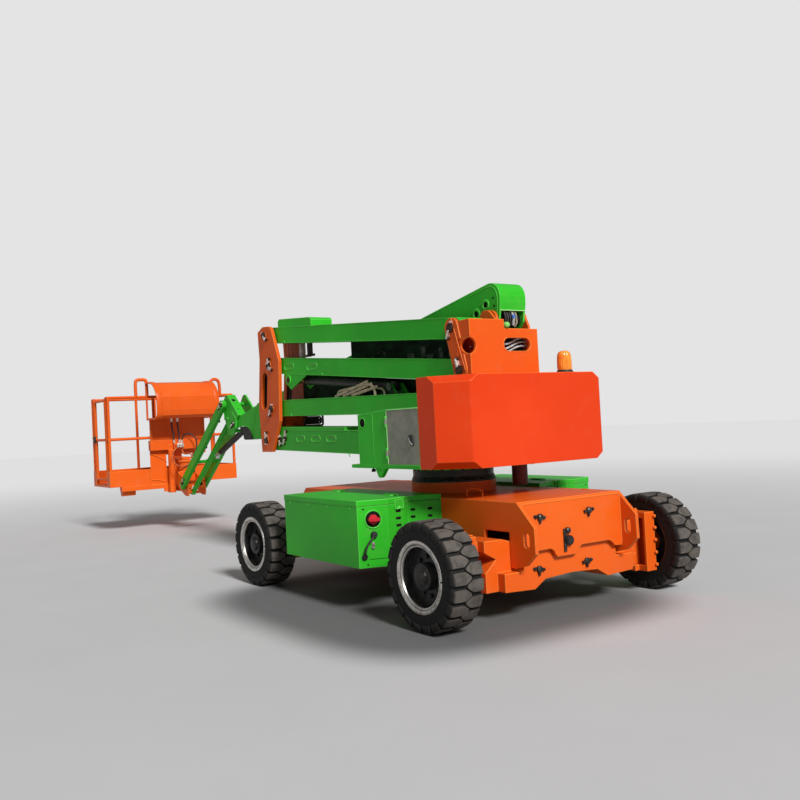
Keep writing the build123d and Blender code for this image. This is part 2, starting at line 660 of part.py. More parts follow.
weight_plan = [
    (WEIGHT_FRONT, WEIGHT_HALF),
    (WEIGHT_SIDE_END, WEIGHT_HALF),
    (WEIGHT_REAR, WEIGHT_REAR_HALF),
    (WEIGHT_REAR, -WEIGHT_REAR_HALF),
    (WEIGHT_SIDE_END, -WEIGHT_HALF),
    (WEIGHT_FRONT, -WEIGHT_HALF),
]
with BuildPart() as counterweight:
    with BuildSketch(Plane.XY.offset(WEIGHT_LOW)):
        with BuildLine():
            Polyline(*weight_plan, close=True)
        make_face()
    extrude(amount=WEIGHT_HIGH - WEIGHT_LOW)
    # bevels along the top and bottom of the two slanted facets
    facet_x = (WEIGHT_SIDE_END + WEIGHT_REAR) / 2
    slanted = counterweight.edges().filter_by(
        lambda edge: abs(edge.center().X - facet_x) < 1 and abs(edge.tangent_at(0.5).Z) < 0.1
    )
    chamfer(slanted, WEIGHT_BEVEL)
    rear_uprights = counterweight.edges().filter_by(
        lambda edge: abs(edge.center().X - WEIGHT_REAR) < 1 and abs(edge.tangent_at(0.5).Z) > 0.99
    )
    fillet(rear_uprights, WEIGHT_SOFT)
write(counterweight.part, "counterweight")

with BuildPart() as slew_drive:
    with Locations((-560, -330, 905)):
        Cylinder(60, 2 * (TURNTABLE_LOW - 905))
write(slew_drive.part, "slew_drive")

with BuildPart() as beacon:
    with Locations((-925, -500, WEIGHT_HIGH + 12)):
        Cylinder(62, 24)
    with Locations((-925, -500, WEIGHT_HIGH + 100)):
        Cylinder(54, 154)
write(beacon.part, "beacon")

# =====================================================================================
# Riser: four arms, the mid link at the front and the boom bracket at the rear
# =====================================================================================
ARMS = (
    # name, rear pivot, front pivot, depth
    ("riser_arm_1", T1, P1, ARM1_DEPTH),
    ("riser_arm_2", T2, P2, ARM_DEPTH),
    ("riser_arm_3", Q3, P3, ARM_DEPTH),
    ("riser_arm_4", Q4, P4, ARM_DEPTH),
)
for name, rear, front, depth in ARMS:
    with BuildPart() as arm:
        strip(rear, front, depth, ARM_HIGH_Y, 2 * RISER_HALF)
        if name == "riser_arm_1":
            length = span(rear, front)
            start = ahead(rear, front, ARM1_DEEP_FROM - rear[0], (ARM1_DEEP - depth) / 2)
            end = ahead(rear, front, length, (ARM1_DEEP - depth) / 2)
            strip(start, end, ARM1_DEEP - 2, ARM_HIGH_Y, 2 * RISER_HALF)
        hollow_from = ahead(rear, front, RISER_BOSS + 20)
        hollow_to = ahead(front, rear, RISER_BOSS + 20)
        strip(hollow_from, hollow_to, depth - 2 * ARM_WALL, ARM_HIGH_Y - ARM_WALL, 2 * (RISER_HALF - ARM_WALL), Mode.SUBTRACT)
        for pivot in (rear, front):
            disc(pivot, min(RISER_BOSS + 10, depth / 2), ARM_HIGH_Y + 4, ARM_LOW_Y - 4)
        if name == "riser_arm_2":
            for y in (RISER_Y + CYL_BARREL + 22, RISER_Y - CYL_BARREL - 4):
                foot = [
                    ahead(rear, front, 860, ARM_DEPTH / 2 - 2),
                    (RISER_CYL_FOOT[0] - 34, RISER_CYL_FOOT[1] + 10),
                    (RISER_CYL_FOOT[0] - 10, RISER_CYL_FOOT[1] + 30),
                    (RISER_CYL_FOOT[0] + 24, RISER_CYL_FOOT[1] + 20),
                    ahead(rear, front, 1120, ARM_DEPTH / 2 - 2),
                ]
                plate(foot, y, 18)
            disc(RISER_CYL_FOOT, CYL_PIN, RISER_Y + CYL_BARREL + 22, RISER_Y - CYL_BARREL - 22)
        if name == "riser_arm_3":
            gusset = [
                (2141, 1960),
                (RISER_CYL_EYE[0] + 35, RISER_CYL_EYE[1] - 60),
                (RISER_CYL_EYE[0] - 12, RISER_CYL_EYE[1] - 97),
                (1606, 1850),
                (1606, 1900),
                (2141, 1975),
            ]
            for y in (ARM_HIGH_Y, ARM_LOW_Y + SIDE_PLATE):
                plate(gusset, y, SIDE_PLATE)
            # slot in the underside, into which the cylinder's eye swings
            mouth = [
                (RISER_CYL_EYE[0] - 210, 1840), (RISER_CYL_EYE[0] + 190, 1880),
                (RISER_CYL_EYE[0] + 190, 1960), (RISER_CYL_EYE[0] - 210, 1930),
            ]
            plate(mouth, RISER_Y + CYL_EYE_HALF + 26, 2 * CYL_EYE_HALF + 52, Mode.SUBTRACT)
        if name == "riser_arm_4":
            with BuildSketch(Plane.XZ.offset(-ARM_HIGH_Y)) as cover:
                with BuildLine():
                    Polyline((1505, 2250), (1505, 2362), (1535, 2385), (2135, 2440), (2165, 2418), (2165, 2300), close=True)
                make_face()
            extrude(cover.sketch, amount=2 * RISER_HALF)
            slab(1620, 2080, ARM_LOW_Y - 70, ARM_LOW_Y + 2, 2335, 2390)
        for pivot in (rear, front):
            disc(pivot, RISER_PIN + RUNNING_FIT, ARM_HIGH_Y + 50, ARM_LOW_Y - 50, Mode.SUBTRACT)
    write(arm.part, name)

mid_outline = [
    (2536, 2348), (2420, 2395), (2290, 2385), (2240, 2354), (2102, 2014), (2143, 1411),
    (2328, 1098), (2554, 1098), (2584, 1572), (2520, 2062),
]
MID_HIGH_Y = LINK_HIGH_Y - SIDE_PLATE + MID_PLATE
MID_LOW_Y = LINK_LOW_Y + SIDE_PLATE - MID_PLATE
with BuildPart() as mid_link:
    for y_high in (MID_HIGH_Y, LINK_LOW_Y + SIDE_PLATE):
        plate(mid_outline, y_high, MID_PLATE)
        slot((2422, 1862), (2459, 1600), 60, y_high, MID_PLATE)
    for pivot in (P1, P2, P3, P4):
        disc(pivot, RISER_PIN, MID_HIGH_Y + 8, MID_LOW_Y - 2)
    # spacer web between the plates, ahead of the arms
    slab(2555, 2575, LINK_LOW_Y + 2, LINK_HIGH_Y - 2, 1330, 1480)
write(mid_link.part, "mid_link")

near_plate = [
    (Q4[0] + 20, Q4[1] + 40), (BRACKET_REAR, BRACKET_TOP), (BRACKET_REAR, BRACKET_LOW),
    (Q3[0] - 20, BRACKET_LOW), (Q3[0] + 40, Q3[1] - 20), (Q4[0] + 60, Q4[1] - 20),
]
boom_side = [
    (BOOM_CYL_FOOT[0] + 60, BOOM_CYL_FOOT[1] - 20), (BOOM_CYL_FOOT[0] + 55, BOOM_CYL_FOOT[1] + 40), (-560, 1990),
    (BOOM_PIVOT[0] + 66, BOOM_PIVOT[1] + 20), (BOOM_PIVOT[0] + 40, BOOM_PIVOT[1] + 60), (BOOM_PIVOT[0], BOOM_PIVOT[1] + 72),
    (BOOM_PIVOT[0] - 50, BOOM_PIVOT[1] + 50), (BRACKET_REAR + 10, 1985), (BRACKET_REAR + 10, BRACKET_LOW),
    (-700, BRACKET_LOW), (BOOM_CYL_FOOT[0] - 20, BOOM_CYL_FOOT[1] - 45), (BOOM_CYL_FOOT[0] + 30, BOOM_CYL_FOOT[1] - 50),
]
LUG_NEAR = BOOM_Y + BOOM_HALF + 6 + LUG_PLATE
LUG_FAR = BOOM_Y - BOOM_HALF - 6
with BuildPart() as boom_bracket:
    for y_high in (LINK_HIGH_Y, LINK_LOW_Y + SIDE_PLATE):
        plate(near_plate, y_high, SIDE_PLATE)
        slot(Q4, Q3, STRAP_RADIUS, y_high, SIDE_PLATE, Mode.ADD)
    slot(Q4, Q3, STRAP_RADIUS, LINK_HIGH_Y + STRAP_PLATE, STRAP_PLATE + 1, Mode.ADD)
    second_lug = [
        (BRACKET_REAR + 10, BRACKET_TOP - 60), (BRACKET_REAR + 10, BRACKET_TOP - 10), (BOOM_PIVOT[0] - 60, BOOM_PIVOT[1] + 40),
        (BOOM_PIVOT[0] + 60, BOOM_PIVOT[1] + 40), (BOOM_PIVOT[0] + 90, BRACKET_TOP - 60),
    ]
    plate(second_lug, LINK_LOW_Y + SIDE_PLATE, SIDE_PLATE)
    disc(BOOM_PIVOT, LUG_RADIUS, LINK_LOW_Y + SIDE_PLATE, LINK_LOW_Y)
    for y_high in (LUG_NEAR, LUG_FAR):
        plate(boom_side, y_high, LUG_PLATE)
        disc(BOOM_PIVOT, LUG_RADIUS, y_high, y_high - LUG_PLATE)
    slab(BRACKET_REAR, BRACKET_REAR + BRACKET_PLATE, BRACKET_FAR_Y, LINK_HIGH_Y, BRACKET_LOW, BRACKET_TOP)
    slab(BRACKET_REAR - 5, BRACKET_REAR + BRACKET_PLATE + 5, BRACKET_FAR_Y - 5, BOOM_Y + BOOM_HALF + 6, 1999, BRACKET_TOP + 100, Mode.SUBTRACT)
    # hose window with round ends, and the round opening through the near corner
    window_z, window_r = 1879, 49
    slab(BRACKET_REAR - 5, BRACKET_REAR + BRACKET_PLATE + 5, -240, -74, window_z - window_r, window_z + window_r, Mode.SUBTRACT)
    for y in (-240, -74):
        with Locations(Location((BRACKET_REAR + BRACKET_PLATE / 2, y, window_z), (0, 90, 0))):
            Cylinder(window_r, 2 * BRACKET_PLATE, mode=Mode.SUBTRACT)
    with Locations(Location((BRACKET_REAR, LINK_HIGH_Y, CORNER_HOLE_Z), (0, 90, -45))):
        Cylinder(CORNER_HOLE_RADIUS, 260, mode=Mode.SUBTRACT)
    for pivot in (Q3, Q4):
        disc(pivot, RISER_PIN, LINK_HIGH_Y + STRAP_PLATE + 4, LINK_LOW_Y - 2)
    disc(BOOM_PIVOT, BOOM_PIN, LINK_LOW_Y + SIDE_PLATE, LUG_FAR - LUG_PLATE)
    disc(BOOM_CYL_FOOT, CYL_PIN, LUG_NEAR, LUG_FAR - LUG_PLATE)
write(boom_bracket.part, "boom_bracket")

# =====================================================================================
# Main boom and fly boom
# =====================================================================================
slope = tan(radians(BOOM_ANGLE))
vertical = BOOM_DEPTH / cos(radians(BOOM_ANGLE))


def boom_top(x):
    """Height of the boom's top face at an x."""
    return BOOM_ROOT[1] + (x - BOOM_ROOT[0]) * slope


with BuildPart() as main_boom:
    tube = [
        (-560, boom_top(-560) - vertical), (-560, boom_top(-560)),
        (BOOM_TIP_X, boom_top(BOOM_TIP_X)), (BOOM_TIP_X, boom_top(BOOM_TIP_X) - vertical),
    ]
    plate(tube, BOOM_Y + BOOM_HALF, 2 * BOOM_HALF)
    root = [
        (-560, boom_top(-560)), (-640, 2359), (-672, 2357), (-705, 2345), (-732, 2322), (-750, 2290), (-758, 2250),
        (-757, 2200), (-748, 2141), (BOOM_PIVOT[0] - 70, BOOM_PIVOT[1] - 20),
        (BOOM_PIVOT[0] - 30, BOOM_PIVOT[1] - 68), (BOOM_PIVOT[0] + 30, BOOM_PIVOT[1] - 72), (-420, boom_top(-420) - BOOM_ROOT_DEPTH),
        (250, boom_top(250) - vertical), (250, boom_top(250)),
    ]
    plate(root, BOOM_Y + BOOM_HALF, 2 * BOOM_HALF)
    # pocket under the root's cap, open at the back, with the pivot tube across it
    pocket = [
        (-800, 1980), (-800, 2141), (-734, 2141), (-743, 2200), (-744, 2250), (-736, 2288), (-720, 2314),
        (-697, 2333), (-670, 2343), (-560, 2330), (-540, 2300), (-540, 2130), (-575, 2060), (-640, 1980),
    ]
    plate(pocket, BOOM_Y + BOOM_HALF - ROOT_PLATE, 2 * (BOOM_HALF - ROOT_PLATE), Mode.SUBTRACT)
    disc(BOOM_PIVOT, ROOT_TUBE, BOOM_Y + BOOM_HALF, BOOM_Y - BOOM_HALF)
    for centre, radius in (((-597, 2200), 20), ((-487, 2142), 26)):
        disc(centre, radius, BOOM_Y + BOOM_HALF, BOOM_Y + BOOM_HALF - ROOT_PLATE - 4, Mode.SUBTRACT)
    bore = [
        (-500, boom_top(-500) - vertical + 9), (-500, boom_top(-500) - 9),
        (BOOM_TIP_X + 50, boom_top(BOOM_TIP_X + 50) - 9), (BOOM_TIP_X + 50, boom_top(BOOM_TIP_X + 50) - vertical + 9),
    ]
    plate(bore, BOOM_Y + BOOM_HALF - BOOM_WALL, 2 * (BOOM_HALF - BOOM_WALL), Mode.SUBTRACT)
    disc(BOOM_PIVOT, BOOM_PIN + RUNNING_FIT, 100, -500, Mode.SUBTRACT)
    ear = [
        (BOOM_CYL_EYE[0] - 130, boom_top(BOOM_CYL_EYE[0] - 130) - vertical + 4), (BOOM_CYL_EYE[0] - 50, BOOM_CYL_EYE[1] - 20),
        (BOOM_CYL_EYE[0] - 20, BOOM_CYL_EYE[1] - 46), (BOOM_CYL_EYE[0] + 25, BOOM_CYL_EYE[1] - 46),
        (BOOM_CYL_EYE[0] + 55, BOOM_CYL_EYE[1] - 10), (BOOM_CYL_EYE[0] + 160, boom_top(BOOM_CYL_EYE[0] + 160) - vertical + 4),
    ]
    for y in (BOOM_Y + 74, BOOM_Y - 56):
        plate(ear, y, 18)
write(main_boom.part, "main_boom")

fly_top = boom_top(0) - 20 / cos(radians(BOOM_ANGLE))
fly_vertical = FLY_DEPTH / cos(radians(BOOM_ANGLE))


def fly_z(x, share=0.0):
    """Height of the fly boom's top face at an x, or lower by a share of its depth."""
    return fly_top + x * slope - share * fly_vertical


HEAD_X = 3345
with BuildPart() as fly_boom:
    fly_rear = HEAD_X - FLY_INSIDE
    tube = [
        (fly_rear, fly_z(fly_rear, 1)), (fly_rear, fly_z(fly_rear)),
        (HEAD_X + 60, fly_z(HEAD_X + 60)), (HEAD_X + 60, fly_z(HEAD_X + 60, 1)),
    ]
    plate(tube, BOOM_Y + FLY_HALF, 2 * FLY_HALF)
    bore = [
        (fly_rear - 20, fly_z(fly_rear - 20, 1) + 9), (fly_rear - 20, fly_z(fly_rear - 20) - 9),
        (HEAD_X - 10, fly_z(HEAD_X - 10) - 9), (HEAD_X - 10, fly_z(HEAD_X - 10, 1) + 9),
    ]
    plate(bore, BOOM_Y + FLY_HALF - FLY_WALL, 2 * (FLY_HALF - FLY_WALL), Mode.SUBTRACT)
    # wear pads at the rear end, which bear on the main boom
    for x in (fly_rear + 10, fly_rear + 1500):
        pad = [
            (x, fly_z(x, 1) - 10.9), (x, fly_z(x) + 10.9), (x + 90, fly_z(x + 90) + 10.9), (x + 90, fly_z(x + 90, 1) - 10.9),
        ]
        plate(pad, BOOM_Y + 60, 120)
        pad_side = [
            (x, fly_z(x, 0.75)), (x, fly_z(x, 0.25)), (x + 90, fly_z(x + 90, 0.25)), (x + 90, fly_z(x + 90, 0.75)),
        ]
        plate(pad_side, BOOM_Y + BOOM_HALF - BOOM_WALL - 0.2, 2 * (BOOM_HALF - BOOM_WALL - 0.2))
    bore_low = [
        (fly_rear - 20, fly_z(fly_rear - 20, 1) + 9), (fly_rear - 20, fly_z(fly_rear - 20) - 9),
        (HEAD_X - 10, fly_z(HEAD_X - 10) - 9), (HEAD_X - 10, fly_z(HEAD_X - 10, 1) + 9),
    ]
    plate(bore_low, BOOM_Y + FLY_HALF - FLY_WALL, 2 * (FLY_HALF - FLY_WALL), Mode.SUBTRACT)
    head = [
        (HEAD_X, 1632), (3770, 1528), (KNUCKLE_PIVOT[0] - 20, KNUCKLE_PIVOT[1] + 72), (KNUCKLE_PIVOT[0] + 50, KNUCKLE_PIVOT[1] + 52),
        (KNUCKLE_PIVOT[0] + 70, KNUCKLE_PIVOT[1] - 10), (KNUCKLE_PIVOT[0] + 30, KNUCKLE_PIVOT[1] - 62), (3847, 1385),
        (3720, 1386), (3631, 1365), (3560, 1300), (3515, 1226), (HEAD_X, 1226),
    ]
    plate(head, BOOM_Y + HEAD_HALF, HEAD_PLATE)
    plate(head, BOOM_Y - HEAD_HALF + HEAD_PLATE, HEAD_PLATE)
    slab(HEAD_X, HEAD_X + 14, BOOM_Y - HEAD_HALF + 2, BOOM_Y + HEAD_HALF - 2, 1240, 1600)
    disc(KNUCKLE_PIVOT, JIB_PIN + 6, BOOM_Y + HEAD_HALF + KNUCKLE_GAP + KNUCKLE_PLATE + 6, BOOM_Y - HEAD_HALF - KNUCKLE_GAP - KNUCKLE_PLATE - 6)
write(fly_boom.part, "fly_boom")

# =====================================================================================
# Knuckle, jib arms, levelling link and platform support
# =====================================================================================
KNUCKLE_HIGH = BOOM_Y + HEAD_HALF + KNUCKLE_GAP + KNUCKLE_PLATE
KNUCKLE_LOW = 2 * BOOM_Y - KNUCKLE_HIGH
JIB_LINK_Y = BOOM_Y + 62
ARM_INSIDE = KNUCKLE_HIGH + 6
JIB_LINK_TOP = (JIB_TOP[0] + JIB_LINK_DROP[0], JIB_TOP[1] + JIB_LINK_DROP[1])
JIB_LINK_END = (JIB_END[0] + JIB_LINK_DROP[0], JIB_END[1] + JIB_LINK_DROP[1])
knuckle_outline = [
    (KNUCKLE_PIVOT[0] - 62, KNUCKLE_PIVOT[1] - 40), (KNUCKLE_PIVOT[0] - 90, KNUCKLE_PIVOT[1] + 60), (3860, 1520), (4150, 1775),
    (4205, 1770), (JIB_TOP[0] + 50, JIB_TOP[1] + 40), (JIB_TOP[0] + 52, JIB_TOP[1] - 40), (JIB_LINK_TOP[0] + 50, JIB_LINK_TOP[1] - 20),
    (JIB_CYL_FOOT[0] + 45, JIB_CYL_FOOT[1] + 20), (JIB_CYL_FOOT[0] + 40, JIB_CYL_FOOT[1] - 40), (JIB_CYL_FOOT[0] - 30, JIB_CYL_FOOT[1] - 50), (4030, 1310),
]
with BuildPart() as jib_knuckle:
    for y_high in (KNUCKLE_HIGH, KNUCKLE_LOW + KNUCKLE_PLATE):
        plate(knuckle_outline, y_high, KNUCKLE_PLATE)
    back = [(3858, 1520), (4150, 1777), (4150, 1761), (3866, 1512)]
    plate(back, KNUCKLE_HIGH - 2, 104)
    disc(KNUCKLE_PIVOT, JIB_PIN + 6 + RUNNING_FIT, 200, -500, Mode.SUBTRACT)
    disc(JIB_TOP, JIB_PIN, ARM_INSIDE + JIB_ARM_WIDTH + 4, 2 * BOOM_Y - ARM_INSIDE - JIB_ARM_WIDTH - 4)
    # stub pin of the levelling link, clear of the cylinder beside it
    disc(JIB_LINK_TOP, JIB_PIN - 4, KNUCKLE_HIGH, JIB_LINK_Y - 52)
    disc(JIB_CYL_FOOT, CYL_PIN, KNUCKLE_HIGH, KNUCKLE_LOW)
write(jib_knuckle.part, "jib_knuckle")

jib_length = span(JIB_TOP, JIB_END)
JIB_TIE_R = 22
with BuildPart() as jib_arms:
    for y_high in (ARM_INSIDE + JIB_ARM_WIDTH, 2 * BOOM_Y - ARM_INSIDE):
        strip(JIB_TOP, ahead(JIB_TOP, JIB_END, jib_length + 95), JIB_ARM_DEPTH, y_high, JIB_ARM_WIDTH)
        disc(JIB_TOP, JIB_ARM_DEPTH / 2, y_high, y_high - JIB_ARM_WIDTH)
    for point in (JIB_CYL_EYE,):
        foot = ahead(JIB_TOP, JIB_END, 1080, 0)
        tie = ahead(JIB_TOP, JIB_END, 1250, 18)
        disc(tie, JIB_TIE_R, ARM_INSIDE + 4, 2 * BOOM_Y - ARM_INSIDE - 4)
        for y in (BOOM_Y - 20, BOOM_Y - 96):
            lug = [
                ahead(JIB_TOP, JIB_END, 1250, 18), ahead(JIB_TOP, JIB_END, 1235, 36), (point[0] - 34, point[1] + 10),
                (point[0] - 20, point[1] - 30), (point[0] + 20, point[1] - 30), ahead(JIB_TOP, JIB_END, 1265, 0),
            ]
            plate(lug, y, 14)
    for pivot in (JIB_TOP, JIB_END):
        disc(pivot, JIB_PIN + RUNNING_FIT, 200, -500, Mode.SUBTRACT)
write(jib_arms.part, "jib_arms")

with BuildPart() as jib_link:
    strip(JIB_LINK_TOP, JIB_LINK_END, 48, JIB_LINK_Y, 46)
    for pivot in (JIB_LINK_TOP, JIB_LINK_END):
        disc(pivot, 36, JIB_LINK_Y, JIB_LINK_Y - 46)
    for pivot in (JIB_LINK_TOP, JIB_LINK_END):
        disc(pivot, JIB_PIN - 4 + RUNNING_FIT, 200, -500, Mode.SUBTRACT)
write(jib_link.part, "jib_link")

with BuildPart() as platform_support:
    support = [
        (JIB_END[0] - 45, JIB_END[1] + 30), (JIB_END[0], JIB_END[1] + 58), (JIB_END[0] + 60, JIB_END[1] + 40), (ROTATOR_X - 20, 800),
        (ROTATOR_X - 20, 590), (JIB_LINK_END[0] + 60, JIB_LINK_END[1] - 46), (JIB_LINK_END[0] - 30, JIB_LINK_END[1] - 46), (JIB_LINK_END[0] - 50, JIB_LINK_END[1] + 10),
    ]
    for y_high in (KNUCKLE_HIGH, KNUCKLE_LOW + KNUCKLE_PLATE):
        plate(support, y_high, KNUCKLE_PLATE)
    slab(ROTATOR_X - 60, ROTATOR_X - 20, KNUCKLE_LOW, KNUCKLE_HIGH, 590, 800)
    with Locations((ROTATOR_X, BOOM_Y, (ROTATOR_LOW + ROTATOR_HIGH) / 2)):
        Cylinder(ROTATOR_RADIUS, ROTATOR_HIGH - ROTATOR_LOW)
        Cylinder(CARRIER_PIN + RUNNING_FIT, ROTATOR_HIGH - ROTATOR_LOW, mode=Mode.SUBTRACT)
    disc(JIB_END, JIB_PIN, ARM_INSIDE + JIB_ARM_WIDTH + 4, 2 * BOOM_Y - ARM_INSIDE - JIB_ARM_WIDTH - 4)
    disc(JIB_LINK_END, JIB_PIN - 4, KNUCKLE_HIGH, KNUCKLE_LOW)
write(platform_support.part, "platform_support")

# =====================================================================================
# Platform with its gate, console and console cover
# =====================================================================================
PLATFORM_FRONT = PLATFORM_REAR + PLATFORM_DEPTH
rail_inset = RAIL_RADIUS + 1
x0 = PLATFORM_REAR + rail_inset
x1 = PLATFORM_FRONT - rail_inset
y0 = PLATFORM_RIGHT + rail_inset
y1 = PLATFORM_LEFT - rail_inset


def rail(start, end, radius=RAIL_RADIUS):
    """A straight round tube between two points."""
    direction = Vector(*end) - Vector(*start)
    with BuildSketch(Plane(origin=start, z_dir=direction)) as ring:
        Circle(radius)
    extrude(ring.sketch, amount=direction.length)


def post(x, y, low, high, radius=RAIL_RADIUS + 1):
    """An upright tube with a ball on top, a little thicker than the rails."""
    rail((x, y, low), (x, y, high), radius)
    with Locations((x, y, high)):
        Sphere(radius)


with BuildPart() as platform:
    slab(PLATFORM_REAR, PLATFORM_FRONT, PLATFORM_RIGHT, PLATFORM_LEFT, FLOOR_LOW, TOE_TOP)
    slab(PLATFORM_REAR + TOE_SHEET, PLATFORM_FRONT - TOE_SHEET, PLATFORM_RIGHT + TOE_SHEET, PLATFORM_LEFT - TOE_SHEET, FLOOR_TOP, TOE_TOP + 10, Mode.SUBTRACT)
    slab(GATE_FROM, GATE_TO, PLATFORM_LEFT - 40, PLATFORM_LEFT + 5, FLOOR_TOP + 10, TOE_TOP + 10, Mode.SUBTRACT)
    for x in (x0, x1):
        for y in (y0, y1):
            post(x, y, FLOOR_TOP - 5, TOP_RAIL)
        for z in (MID_RAIL, TOP_RAIL):
            rail((x, y0, z), (x, y1, z))
    for z in (MID_RAIL, TOP_RAIL):
        rail((x0, y0, z), (x1, y0, z))
        rail((x0, y1, z), (GATE_FROM - 20, y1, z))
        rail((GATE_TO + 20, y1, z), (x1, y1, z))
    for x in (GATE_FROM - 20, GATE_TO + 20):
        post(x, y1, FLOOR_TOP - 5, TOP_RAIL)
    for y in (-720, 160, (y0 + y1) / 2):
        post(x1, y, FLOOR_TOP - 5, TOP_RAIL)
    for y in (-720, 160):
        post(x0, y, FLOOR_TOP - 5, TOP_RAIL)
    # lugs and pins of the gate hinge
    for low, high, pin_low, pin_high in (
        (TOP_RAIL - 8, TOP_RAIL, TOP_RAIL - 40, TOP_RAIL),
        (FLOOR_TOP + 48, FLOOR_TOP + 56, FLOOR_TOP + 48, FLOOR_TOP + 90),
    ):
        slab(GATE_FROM - 20, GATE_FROM + 32, y1 - 12, y1 + 12, low, high)
        rail((GATE_FROM + 20, y1, pin_low), (GATE_FROM + 20, y1, pin_high), GATE_PIN)
    # sheet behind the console and the plate under it
    slab(PLATFORM_REAR - PANEL_SEAT, PLATFORM_REAR + 14, -600, 230, 1040, COVER_LOW + 20)
    slab(PLATFORM_REAR - PANEL_SEAT, PLATFORM_REAR + 14, BOOM_Y - 60, BOOM_Y + 60, TOE_TOP - 10, 1060)
write(platform.part, "platform")

# rotator carrier: two arms on the rotator, a back plate, a cross beam, an upright and a foot
CARRIER_HALF = 60
CARRIER_ARM = 36
CARRIER_REAR = ROTATOR_X - 60
CARRIER_LOW = ROTATOR_LOW - 4 - CARRIER_ARM
CARRIER_HIGH = ROTATOR_HIGH + 4 + CARRIER_ARM
BEAM_LOW = 1110
BEAM_HIGH = 1250
BEAM_DEPTH = 84
POST_LOW = 508
MANIFOLD_REAR = 6044
MANIFOLD_LOW = 1120
MANIFOLD_HIGH = 1200
PANEL_REAR = PLATFORM_REAR - PANEL_SEAT
with BuildPart() as carrier:
    slab(CARRIER_REAR, PANEL_REAR, BOOM_Y - CARRIER_HALF, BOOM_Y + CARRIER_HALF, ROTATOR_HIGH + 4, CARRIER_HIGH)
    slab(CARRIER_REAR, PLATFORM_REAR, BOOM_Y - CARRIER_HALF, BOOM_Y + CARRIER_HALF, CARRIER_LOW, ROTATOR_LOW - 4)
    slab(PLATFORM_REAR - 30, PANEL_REAR, BOOM_Y - CARRIER_HALF, BOOM_Y + CARRIER_HALF, CARRIER_LOW, CARRIER_HIGH)
    slab(PANEL_REAR - 2, PLATFORM_REAR, BOOM_Y - CARRIER_HALF, BOOM_Y + CARRIER_HALF, CARRIER_LOW, TOE_TOP - 14)
    with Locations((ROTATOR_X, BOOM_Y, (ROTATOR_LOW + ROTATOR_HIGH) / 2)):
        Cylinder(CARRIER_PIN, ROTATOR_HIGH - ROTATOR_LOW + 20)
    # cross beam against the sheet behind the console
    slab(PANEL_REAR - BEAM_DEPTH, PANEL_REAR, -430, 262, BEAM_LOW, BEAM_HIGH)
    # hydraulic manifold on the beam, where the platform hoses start
    slab(MANIFOLD_REAR, PANEL_REAR - BEAM_DEPTH + 2, -215, -65, MANIFOLD_LOW, MANIFOLD_HIGH)
    # upright, joined to the beam, the back plate and the foot
    with Locations((CARRIER_POST[0], CARRIER_POST[1], (POST_LOW + BEAM_LOW) / 2)):
        Cylinder(CARRIER_POST_RADIUS, BEAM_LOW - POST_LOW + 6)
    slab(CARRIER_POST[0] - 10, PANEL_REAR, CARRIER_POST[1] - 30, CARRIER_POST[1] + 30, BEAM_LOW, BEAM_LOW + 70)
    slab(CARRIER_POST[0] - 36, PLATFORM_REAR, CARRIER_POST[1] - 40, CARRIER_POST[1] + 40, POST_LOW, 600)
    slab(PLATFORM_REAR - 20, PLATFORM_REAR, BOOM_Y, 60, CARRIER_LOW, 600)
    slab(PLATFORM_REAR - 20, PLATFORM_REAR + 60, -60, 670, 566, FLOOR_LOW)
    slab(PANEL_REAR - 8, PANEL_REAR, 10, 248, FLOOR_LOW - 10, BEAM_LOW + 5)
    foot = [
        (PLATFORM_REAR + 40, FLOOR_LOW), (PLATFORM_REAR + 60, 500),
        (PLATFORM_REAR + 150, 492), (PLATFORM_REAR + 210, FLOOR_LOW),
    ]
    plate(foot, 635, 180)
write(carrier.part, "platform_carrier")


with BuildPart() as gate:
    gy = y1
    g0 = GATE_FROM + 20
    g1 = GATE_TO - 20
    for x in (g0, g1):
        post(x, gy, FLOOR_TOP + 60, TOP_RAIL - 30, RAIL_RADIUS)
    for z in (FLOOR_TOP + 90, MID_RAIL, TOP_RAIL - 30):
        rail((g0, gy, z), (g1, gy, z), RAIL_RADIUS - 1)
    with Locations((g0, gy, TOP_RAIL - 20), (g0, gy, FLOOR_TOP + 70)):
        Cylinder(GATE_PIN + RUNNING_FIT, 60, mode=Mode.SUBTRACT)
write(gate.part, "platform_gate")

with BuildPart() as console:
    slab(PLATFORM_REAR - 230, PLATFORM_REAR + 14, -545, 20, COVER_LOW + 20, CONSOLE_TOP)
write(console.part, "console")

with BuildPart() as cover:
    cover_rear = PLATFORM_REAR - COVER_REACH
    cover_line = [
        (PLATFORM_REAR - PANEL_SEAT, COVER_LOW), (cover_rear + 60, COVER_LOW), (cover_rear + 12, COVER_LOW + 40), (cover_rear, COVER_LOW + 110),
        (cover_rear + 6, COVER_LOW + 300), (cover_rear + 60, COVER_HIGH - 110), (cover_rear + 170, COVER_HIGH - 25),
        (cover_rear + 280, COVER_HIGH), (PLATFORM_REAR - PANEL_SEAT, COVER_HIGH),
    ]
    plate(cover_line, COVER_LEFT, COVER_LEFT - COVER_RIGHT)
    cover_hollow = [
        (PLATFORM_REAR, COVER_LOW + COVER_SHEET), (cover_rear + 62, COVER_LOW + COVER_SHEET), (cover_rear + 17, COVER_LOW + 44), (cover_rear + COVER_SHEET, COVER_LOW + 112),
        (cover_rear + 6 + COVER_SHEET, COVER_LOW + 299), (cover_rear + 64, COVER_HIGH - 114), (cover_rear + 172, COVER_HIGH - 30),
        (cover_rear + 280, COVER_HIGH - COVER_SHEET), (PLATFORM_REAR, COVER_HIGH - COVER_SHEET),
    ]
    plate(cover_hollow, COVER_LEFT, COVER_LEFT - COVER_RIGHT, Mode.SUBTRACT)
